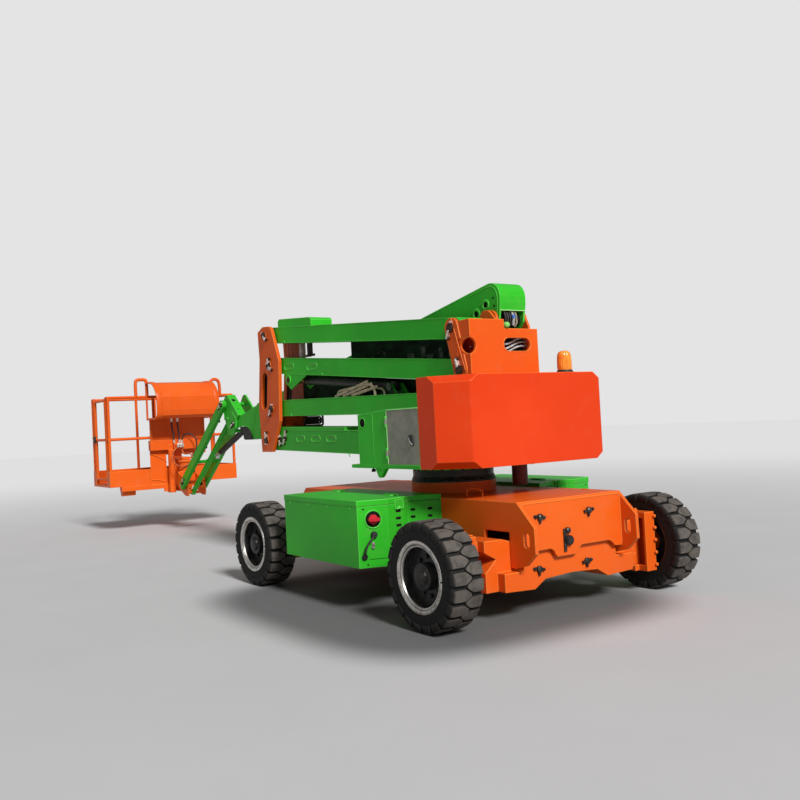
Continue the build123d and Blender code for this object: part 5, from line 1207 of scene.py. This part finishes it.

# painted shade over the inner face of the mid link's far plate, with hoses and an accumulator
# clamped on it
far_plate_shade = mottled(
    "link_far_plate_shade", (11.0, 5.0), (0.45, 0.66), (0.006, 0.005, 0.004), (0.070, 0.010, 0.006),
    Specular_IOR_Level=0.2, Roughness=0.7)
far_plate_outline = [
    (2.515, 2.330), (2.420, 2.380), (2.295, 2.372), (2.252, 2.345), (2.114, 2.010), (2.154, 1.415),
    (2.300, 1.160), (2.545, 1.160), (2.572, 1.570), (2.508, 2.060),
]
skin("link_far_plate_shade", [panel(far_plate_outline, 0.0155, 0.0032)], far_plate_shade, "mid_link")
red_hoses, dark_hoses = [], []
for number, (x, lean) in enumerate((
    (2.455, 0.020), (2.425, -0.015), (2.385, 0.030), (2.350, -0.020), (2.315, 0.015),
    (2.275, -0.020),
)):
    path = (
        (x, 0.0245, 2.265), (x + lean, 0.024, 2.205), (x + lean, 0.0235, 2.120),
        (x - lean * 0.5, 0.0245, 2.040),
    )
    (red_hoses if number % 2 else dark_hoses).append(rod(path, 0.0085, 10, upward=SIDEWAYS))
red_hoses.append(rod(
    ((2.445, 0.0245, 1.860), (2.440, 0.024, 1.780), (2.352, 0.024, 1.720), (2.350, 0.0245, 1.600)),
    0.0075, 10, upward=SIDEWAYS,
))
skin("link_hoses_red", red_hoses, copper_hose, "mid_link")


def flat_bottle(x, width, low, high):
    """A bottle-shaped upright with a flattened section: an ellipse per height."""
    turn = 2 * np.pi * np.arange(28) / 28
    rows = [
        (low, 0.5), (low + 0.004, 0.9), (low + 0.02, 1.0), (high - 0.02, 1.0), (high - 0.004, 0.9),
        (high, 0.5),
    ]
    return np.array([
        np.stack(
            (
                x + width * size * np.cos(turn), 0.0245 + 0.0095 * size * np.sin(turn),
                np.full(28, z),
            ),
            axis=-1,
        )
        for z, size in rows
    ])


skin("link_accumulator", [flat_bottle(2.130, 0.066, 2.035, 2.255)], zinc, "mid_link")
skin(
    "link_hoses_black", dark_hoses + [flat_bottle(1.978, 0.056, 2.045, 2.240)], black_hose,
    "mid_link",
)
bar = slab((0.165, 0.012, 0.004), (2.060, 0.0240, 2.060), LEFT, ((0, -0.010), (0, 0.0)))
skin("link_bar", [bar], dark_steel, "mid_link")
bundle = []
for reach, high, low in ((1.795, 1.452, 1.348), (1.835, 1.430, 1.370), (1.865, 1.410, 1.390)):
    middle_z = (high + low) / 2
    path = (
        (2.190, 0.0225, high), (reach + 0.07, 0.0225, high), (reach, 0.0225, high),
        (reach, 0.0225, middle_z), (reach, 0.0225, low), (reach + 0.07, 0.0225, low),
        (2.190, 0.0225, low),
    )
    bundle.append(rod(eased(path, 2), 0.0105, 10, upward=SIDEWAYS))
skin("far_span", bundle, black_hose, "mid_link")

# painted shade over the riser cylinder's foot plates, and a ring on it
foot_plate = ((0.250, 1.570), (0.314, 1.661), (0.340, 1.682), (0.379, 1.672), (0.516, 1.577))
skin("foot_shade_sheet", [panel(foot_plate, 0.2305, 0.0020)], shaded, "riser_2")
skin(
    "foot_ring",
    [disc(
        0.034, 28, (0.345, 0.2305, 1.645), LEFT,
        ((0, -0.001), (0, 0.005), (0.004, 0.008), (0.008, 0.004), (0.010, 0.001)),
    )],
    fitting_grey, "riser_2",
)

# =====================================================================================
# Boom bracket
# Plates welded round the boom's foot. A sleeve of orange enamel, darkened to red as painted shade,
# lines the round opening in the corner, a black sheet of painted shade closes the hose window
# behind, and two long pins are held by keepers.
# =====================================================================================
keep_pins("bracket", "bracket", ((0.320, LEFT), (0.010, RIGHT)), (
    ((-0.600, 2.020), (-0.030, -0.074)), ((-0.680, 1.700), (-0.022, 0.080)),
))

# Orange enamel darkened to red, as painted shade inside the corner opening.
sleeve_shaded_orange = enamel(
    "sleeve_shaded_orange", (0.50, 0.030, 0.008), (0.34, 0.018, 0.005), (0.80, 0.10, 0.02), 0.05,
)
turn = 2 * np.pi * np.arange(48) / 48
mouth = np.stack((
    -0.792 + 0.100 * np.maximum(np.cos(turn), 0),
    0.3075 + 0.0595 * np.minimum(np.cos(turn), 0),
    1.872 + 0.0595 * np.sin(turn),
), axis=-1)
bottom = mouth + (0.088, -0.088, 0)
rows = [
    mouth, mouth + (0.044, -0.044, 0), bottom,
    bottom.mean(axis=0) + (bottom - bottom.mean(axis=0)) * 0.02,
]
skin("corner_sleeve", [np.array(rows)], sleeve_shaded_orange, "bracket", ends=False)
lift = np.linspace(-0.0595, 0.0595, 25)
edge_x = -0.792 + 0.100 * np.sqrt(np.maximum(1 - (lift / 0.0595) ** 2, 0))
patch = np.array([
    np.stack((x, np.full(25, y), 1.872 + lift), axis=-1)
    for x, y in (
        (edge_x, 0.308), (np.full(25, -0.6615), 0.308), (np.full(25, -0.6615), 0.2905),
        (edge_x, 0.2905),
    )
])
skin("corner_patch", [np.swapaxes(patch, 0, 1)], orange_enamel, "bracket")
# A black sheet closes the window behind, as painted shade.
window_back = slab((0.128, 0.085, 0.01), (-0.706, -0.170, 1.880), REAR, ((0, -0.004), (0, 0.0)))
skin("window_back", [window_back], black_and_shade, "bracket")
rim = slab(
    (0.138, 0.054, 0.053, 10), (-0.792, -0.157, 1.879), REAR,
    ((-0.003, -0.001), (-0.002, 0.002), (0.002, 0.0025), (0.005, 0.0005)),
)
beads = [
    weld(((-0.742, 0.3165, 1.690), (-0.676, 0.3165, 1.880)), 0.004),
    weld(((-0.676, 0.3165, 1.880), (-0.606, 0.3165, 2.092)), 0.004),
    weld(((-0.7935, 0.305, 1.665), (-0.7935, 0.305, 1.805)), 0.005),
    weld(((-0.7935, 0.305, 1.940), (-0.7935, 0.305, 2.064)), 0.005),
]
skin("bracket_welds", beads, orange_enamel, "bracket")
skin("window_rim", [rim], orange_enamel, "bracket", ends=False)
cap_end = [turned(
    (0, -0.0585, 2.0245), "x",
    ((-0.815, 0.008), (-0.812, 0.016), (-0.805, 0.021), (-0.795, 0.0235), (-0.768, 0.0235)), 20,
)]
skin("root_plug", cap_end, rim_enamel, "main_boom")

# =====================================================================================
# Main boom
# A long welded tube with thick cheeks at its foot under a bright folded cap. Hoses hang in
# the opening below the cap, and a collar with wear pads closes the tube's front end.
# =====================================================================================
cheek_grids, dark_disc_grids = [], []
for y, face in ((-0.040, LEFT), (-0.300, RIGHT)):
    if face is LEFT:
        for x, z, radius in ((-0.597, 2.200, 0.043), (-0.487, 2.142, 0.046)):
            cheek_grids.append(disc(
                radius, 32, (x, y, z), face,
                (
                    (0, -0.001), (0, 0.003), (0.004, 0.006), (radius - 0.026, 0.006),
                    (radius - 0.023, 0.001),
                ),
            ))
    line = np.array((
        (-0.430, y, 2.297), (-0.560, y, 2.320), (-0.655, y, 2.338), (-0.708, y, 2.312),
        (-0.730, y, 2.262), (-0.728, y, 2.190), (-0.718, y, 2.120),
    ))
    cheek_grids.append(rod(eased(line, 3), 0.0035, 6, upward=SIDEWAYS))
    # Black discs: the two larger fill the rings' holes as painted shade, the two smaller stand
    # beside them.
    dark_disc_grids += [
        disc(radius, 20, (x, y, z), face, ((0, -0.001), (0, 0.0015), (0.001, 0.002)))
        for x, z, radius in (
            (-0.684, 2.243, 0.009), (-0.692, 2.182, 0.009), (-0.597, 2.200, 0.021),
            (-0.487, 2.142, 0.024),
        )
    ]
skin("cheek_rings", cheek_grids, green_enamel, "main_boom")
skin("cheek_dark_discs", dark_disc_grids, black_and_shade, "main_boom")
cap_rim = [rod(
    np.array((
        (-0.762, -0.298, 2.143), (-0.762, -0.170, 2.143), (-0.762, -0.042, 2.143),
    )) + (0.014, 0, -0.001),
    0.0045, 8,
)]
skin("cap_rim", cap_rim, rim_enamel, "main_boom")
skin(
    "foot_shroud", [turned((-0.665, 0, 2.080), "y", ((-0.2835, 0.0475), (-0.0565, 0.0475)), 40)],
    black_and_shade, "main_boom", ends=False,
)
# A black sheet behind the hoses is painted shade at the back of the opening.
skin(
    "foot_backing",
    [np.array([
        [
            (x, y, z)
            for y, z in ((-0.0565, 2.325), (-0.2835, 2.325), (-0.2835, 2.060), (-0.0565, 2.060))
        ]
        for x in (-0.640, -0.636)
    ])],
    black_and_shade, "main_boom",
)
foot = []
for y, radius in ((-0.098, 0.010), (-0.122, 0.010), (-0.146, 0.009)):
    foot.append(rod(
        (
            (-0.712, y, 2.190), (-0.722, y - 0.003, 2.145), (-0.738, y - 0.006, 2.090),
            (-0.728, y - 0.008, 2.030),
        ),
        radius, 10, upward=SIDEWAYS,
    ))
skin("foot_hoses", foot, black_hose, "main_boom")
skin(
    "foot_hose_white",
    [rod(
        (
            (-0.712, -0.178, 2.190), (-0.723, -0.180, 2.145), (-0.742, -0.184, 2.090),
            (-0.732, -0.182, 2.030),
        ),
        0.011, 12, upward=SIDEWAYS,
    )],
    grey_hose, "main_boom",
)
skin(
    "foot_collars",
    [turned(
        (-0.7400, -0.1830, 0), "z",
        ((2.084, 0.0135), (2.088, 0.0155), (2.104, 0.0155), (2.108, 0.0135)), 16,
    )],
    blue_hose, "main_boom",
)
skin(
    "foot_hose_olive",
    [rod(
        (
            (-0.716, -0.206, 2.170), (-0.738, -0.212, 2.105), (-0.738, -0.216, 2.050),
            (-0.722, -0.206, 2.020),
        ),
        0.008, 10, upward=SIDEWAYS,
    )],
    tan_hose, "main_boom",
)

BOOM_TILT, BOOM_TOP, BOOM_DEPTH = math.radians(-10.5), (-0.426, 2.320), 0.262


def boom_side(x, y, share):
    """A point of the boom's side at an x: share 0 is its top face, 1 its bottom face.
    z = height of the top face at x - share x depth / cosine of the tilt."""
    top = BOOM_TOP[1] + (x - BOOM_TOP[0]) * math.tan(BOOM_TILT)
    return x, y, top - share * BOOM_DEPTH / math.cos(BOOM_TILT)


section = ((-0.028, -0.032), (1.028, -0.032), (1.028, -0.308), (-0.028, -0.308))
sleeve = np.array([[boom_side(x, y, share) for share, y in section] for x in (3.235, 3.335)])
skin("boom_collar", [sleeve], green_enamel, "main_boom", ends=False)
pads = []
for y in (-0.105, -0.235):
    for share, lift in ((0.0, 0.012), (1.0, -0.012)):
        place = np.array(boom_side(3.285, y, share)) + (0, 0, lift * 0.4)
        pads.append(turned(place, "z", ((-0.003, 0.016), (lift, 0.016)), 6))
skin("pad_bolts", pads, zinc, "main_boom")
seams = []
for y in (-0.0405, -0.2995):
    for share in (0.03, 0.97):
        seams.append(rod([boom_side(x, y, share) for x in np.linspace(-0.30, 3.22, 12)], 0.0028, 6))
skin("boom_seams", seams, green_enamel, "main_boom")

# =====================================================================================
# Boom tip, knuckle and jib
# Cut plates welded at their edges, with turned pins held by keepers. Hoses clipped inside
# the left jib arm and a moulded cover under the tip feed the platform.
# =====================================================================================
arch = np.array((
    (3.847, -0.0655, 1.387), (3.720, -0.0655, 1.388), (3.631, -0.0655, 1.367),
    (3.560, -0.0655, 1.302), (3.515, -0.0655, 1.228),
))
tip_seams = []
for y in (0.0, -0.209):
    tip_seams.append(rod(eased(arch + (0, y, 0), 2), 0.0075, 8, upward=(0, 1, 0)))
    tip_seams.append(rod(
        ((3.410, y - 0.0655, 1.600), (3.470, y - 0.0655, 1.450), (3.560, y - 0.0655, 1.302)), 0.005,
        6, upward=(0, 1, 0),
    ))
tip_seams.append(weld(((3.347, -0.0645, 1.240), (3.347, -0.0645, 1.625))))
tip_seams.append(weld(((3.347, -0.2755, 1.240), (3.347, -0.2755, 1.625))))
skin("tip_seams", tip_seams, green_enamel, "fly_boom")
cover = slab(
    (0.112, 0.078, 0.030), (3.735, -0.253, 1.296), LEFT,
    ((0.008, 0.0), (0, 0.010), (0, 0.156), (0.008, 0.166)),
)
cover_nose = slab(
    (0.050, 0.040, 0.014), (3.879, -0.166, 1.338), LEFT, ((0.004, 0.0), (0, 0.006), (0, 0.076)),
)
skin("tip_cover", [cover, cover_nose], moulded, "fly_boom")

keep_pins(
    "knuckle", "knuckle", ((-0.039, LEFT), (-0.301, RIGHT)), (((4.014, 1.412), (-0.046, -0.030)),),
    0.034,
)
keep_pins("jib", "jib", ((0.017, LEFT), (-0.357, RIGHT)), (
    ((4.220, 1.660), (-0.062, -0.045)), ((5.600, 0.660), (0.062, 0.045)),
), 0.031)

# holes in the knuckle's sloping web, drawn black as painted shade, with the link's keeper on the
# plate below
SLOPE = ((0, -1, 0), (0.7493, 0, 0.6622))
web_holes = []
for x, z, radius in ((4.071, 1.7067, 0.026), (3.945, 1.5955, 0.009)):
    web_holes.append(disc(radius, 20, (x, -0.085, z), SLOPE, ((0, -0.002), (0, 0.0012))))
skin("web_holes", web_holes, black_and_shade, "knuckle")
web_rims = [disc(
    0.034, 24, (4.071, -0.085, 1.7067), SLOPE,
    ((0, -0.002), (0, 0.002), (0.003, 0.0035), (0.008, 0.0010)),
)]
web_rims.append(slab(
    (0.054, 0.011, 0.004), (4.190, -0.039, 1.487), LEFT, ((0, -0.002), (0, 0.012), (0.003, 0.015)),
))
for line in (((3.932, 1.475), (4.036, 1.566)), ((4.268, 1.610), (4.256, 1.510))):
    web_rims += [
        rod([(x, y, z) for x, z in line], 0.005, 6, upward=(0, 1, 0))
        for y in (-0.0385, -0.3015)
    ]
skin("knuckle_seams", web_rims, green_enamel, "knuckle")

JIB_HEAD = np.array((4.220, 0, 1.660))
JIB_RUN, JIB_SQUARE = np.array((0.8097, 0, -0.5868)), np.array((0.5868, 0, 0.8097))


def on_jib(along, y, raised):
    """A point beside the jib arms: a distance along them, and one raised square to it."""
    return JIB_HEAD + JIB_RUN * along + JIB_SQUARE * raised + (0, y, 0)


runs = [
    rod(
        [on_jib(a, y, r + 0.004 * math.sin(6 * a)) for a in np.linspace(0.24, 1.46, 16)], 0.0105,
        10, upward=(0, 1, 0.1),
    )
    for y, r in ((-0.046, 0.030), (-0.048, 0.004), (-0.046, -0.024))
]
skin("jib_hoses", runs, black_hose, "jib")
saddles = [
    slab(
        (0.016, 0.046, 0.005), on_jib(a, -0.033, 0.003), (JIB_RUN, JIB_SQUARE),
        ((0, -0.001), (0, 0.024), (0.004, 0.029)),
    )
    for a in (0.30, 0.85, 1.40)
]
jib_seams = []
for y in (0.017, -0.357):
    for raised in (0.051, -0.051):
        jib_seams.append(rod(
            [on_jib(a, y, raised) for a in np.linspace(0.03, 1.78, 8)], 0.0028, 6,
            upward=(0, 1, 0.1),
        ))
skin("jib_saddles", saddles, moulded, "jib")
skin("jib_seams", jib_seams, green_enamel, "jib")

# web with a bushed hole on the support, and the rotator's flange
web = [
    slab((0.056, 0.064, 0.012), (5.563, -0.225, 0.632), REAR, ((0, -0.002), (0, 0.010))),
    disc(
        0.047, 28, (5.563, -0.225, 0.632), REAR,
        ((0, 0.009), (0, 0.022), (0.003, 0.025), (0.017, 0.025), (0.019, 0.008)),
    ),
    turned(
        (5.930, -0.170, 0), "z",
        ((0.928, 0.084), (0.928, 0.098), (0.950, 0.099), (0.953, 0.096), (0.954, 0.084)), 40,
    ),
]
skin("support_web", web, orange_enamel, "support")
# The bore is drawn as a black disc, painted shade.
skin("support_bore", [disc(0.029, 24, (5.563, -0.225, 0.632), REAR, ((0, 0.009), (0, 0.0125)))],
     black_and_shade, "support")

# =====================================================================================
# Platform
# Bent steel tube and folded sheet in orange enamel, with a grating of zinc-plated bars.
# A black moulded console carries the controls behind a curved sheet cover.
# =====================================================================================
finish_of(moulded, "console")
tubes = []
for points in (
    (
        (6.220, 0.405, 1.868), (6.220, 0.408, 2.080), (6.220, 0.385, 2.116), (6.220, 0.262, 2.116),
        (6.220, 0.242, 2.085), (6.220, 0.242, 1.868),
    ),
    (
        (6.220, -0.715, 1.868), (6.220, -0.722, 2.050), (6.220, -0.770, 2.108),
        (6.220, -0.850, 2.100), (6.220, -0.880, 2.040), (6.220, -0.880, 1.868),
    ),
):
    tubes.append(rod(eased(points, 3), 0.023, 14, upward=(1, 0, 0.02)))
tubes.append(rod(((6.186, 0.262, 1.552), (6.186, 0.262, 2.056)), 0.014, 12, upward=(1, 0, 0)))
tubes.append(rod(((6.186, -0.642, 1.552), (6.186, -0.642, 2.056)), 0.014, 12, upward=(1, 0, 0)))
skin("platform_tubes", tubes, orange_enamel, "platform")

hood = eased(
    [
        (x, 0, z)
        for x, z in (
            (6.194, 1.550), (5.810, 1.550), (5.762, 1.590), (5.750, 1.660), (5.756, 1.850),
            (5.810, 1.950), (5.920, 2.035), (6.030, 2.060), (6.194, 2.060),
        )
    ],
    2,
)
heading = np.gradient(hood, axis=0)
heading /= np.linalg.norm(heading, axis=1, keepdims=True)
off_hood = np.stack((heading[:, 2], 0 * heading[:, 1], -heading[:, 0]), axis=-1)
off_hood *= np.sign(((hood - hood.mean(axis=0)) * off_hood).sum(axis=1, keepdims=True))
SECTION = np.array((
    (0.000, 0.000), (0.010, 0.009), (0.030, 0.014), (0.064, 0.014), (0.082, 0.008), (0.088, -0.004),
    (0.080, -0.012), (0.0, -0.003),
))
rims = []
for y, out in ((0.190, 1), (-0.570, -1)):
    band = hood[:, None] + off_hood[:, None] * SECTION[None, :, 1:]
    band[:, :, 1] += y + out * SECTION[None, :, 0]
    rims.append(band)
skin("cover_rims", rims, orange_enamel, "platform")

folds = [slab(
    (0.413, 0.013, 0.004), (6.194, -0.185, 1.262), REAR, ((0, -0.002), (0, 0.012), (0.003, 0.015)),
)]
folds += [
    slab((0.013, 0.150, 0.004), (6.194, y, 1.410), REAR, ((0, -0.002), (0, 0.008), (0.003, 0.010)))
    for y in (0.214, -0.584)
]
folds.append(rod(
    eased(
        (
            (6.184, 0.236, 1.060), (6.184, 0.150, 1.030), (6.184, 0.055, 0.985),
            (6.184, 0.012, 0.934),
        ),
        2,
    ),
    0.011, 10, upward=(1, 0, 0),
))
folds.append(rod(
    eased(((6.184, 0.236, 0.700), (6.184, 0.120, 0.690), (6.184, 0.040, 0.655)), 2), 0.010, 10,
    upward=(1, 0, 0),
))
folds += [weld(((6.199, y, 0.640), (6.199, y, 0.848))) for y in (0.300, -0.640)]
skin("panel_folds", folds, orange_enamel, "platform")

fittings = []
for x, y, low, high in (
    (6.080, -0.050, 1.549, 1.500), (6.080, -0.140, 1.549, 1.500), (6.072, -0.074, 1.2005, 1.245),
    (6.068, -0.152, 1.2005, 1.245), (6.076, -0.190, 1.2005, 1.240),
):
    drop = np.sign(high - low)
    fittings.append(turned(
        (x, y, 0), "z",
        (
            (low, 0.010), (low, 0.0185), (low + drop * 0.020, 0.0185), (low + drop * 0.024, 0.0145),
            (high, 0.0140), (high, 0.0105),
        ),
        6,
    ))
fittings.append(slab(
    (0.050, 0.030, 0.006), (6.044, -0.150, 1.166), REAR, ((0, -0.002), (0, 0.020), (0.004, 0.024)),
))
fittings += [
    turned((0, y, z), "x", ((6.024, 0.014), (5.996, 0.014), (5.992, 0.010), (5.982, 0.009)), 16)
    for y, z in ((-0.125, 1.172), (-0.172, 1.176))
]
skin("platform_fittings", fittings, keeper_steel, "platform")

grating = [
    slab((0.338, 0.0028, 0.001, 2), (6.580, y, 0.650), TOP, ((0, -0.001), (0, 0.006)))
    for y in np.arange(-1.020, 0.780, 0.030)
]
grating += [
    slab((0.0035, 0.905, 0.001, 2), (x, -0.127, 0.650), TOP, ((0, -0.001), (0, 0.0045)))
    for x in np.arange(6.260, 6.910, 0.106)
]
skin("floor_grating", grating, zinc, "platform")

hinges = [
    turned(
        (6.330, 0.810, 0), "z",
        ((z - 0.032, 0.012), (z - 0.032, 0.027), (z + 0.032, 0.027), (z + 0.032, 0.012)), 18,
    )
    for z in (0.800, 1.780)
]
skin("gate_hinges", hinges, orange_enamel, "gate")
latch = [
    slab(
        (0.032, 0.048, 0.008), (6.828, 0.828, 1.300), LEFT,
        ((0, -0.004), (0, 0.014), (0.003, 0.018)),
    ),
    rod(
        eased(
            (
                (6.828, 0.840, 1.325), (6.828, 0.866, 1.325), (6.790, 0.870, 1.325),
                (6.745, 0.870, 1.325),
            ),
            2,
        ),
        0.006, 8,
    ),
]
skin("gate_latch", latch, dark_steel, "gate")

UP = ((0, 1, 0), (-1, 0, 0))
controls = [slab(
    (0.262, 0.104, 0.014), (6.092, -0.262, 1.790), UP, ((0, -0.002), (0, 0.006), (0.003, 0.008)),
)]
for y in (-0.440, -0.085):
    controls.append(turned(
        (6.110, y, 0), "z",
        (
            (1.797, 0.026), (1.797, 0.032), (1.803, 0.031), (1.820, 0.013), (1.850, 0.009),
            (1.860, 0.016), (1.900, 0.0195), (1.918, 0.015), (1.922, 0.004),
        ),
        24,
    ))
skin("console_controls", controls, dark_steel, "platform")
toggles = [
    turned(
        (6.150, y, 0), "z",
        ((1.797, 0.007), (1.804, 0.007), (1.806, 0.0035), (1.822, 0.0045), (1.824, 0.002)), 10,
    )
    for y in np.arange(-0.370, -0.130, 0.034)
]
skin("console_toggles", toggles, keeper_steel, "platform")
skin(
    "stop_button",
    [turned(
        (6.060, -0.262, 0), "z",
        (
            (1.797, 0.013), (1.816, 0.013), (1.820, 0.022), (1.832, 0.022), (1.838, 0.015),
            (1.840, 0.003),
        ),
        24,
    )],
    knob_red, "platform",
)
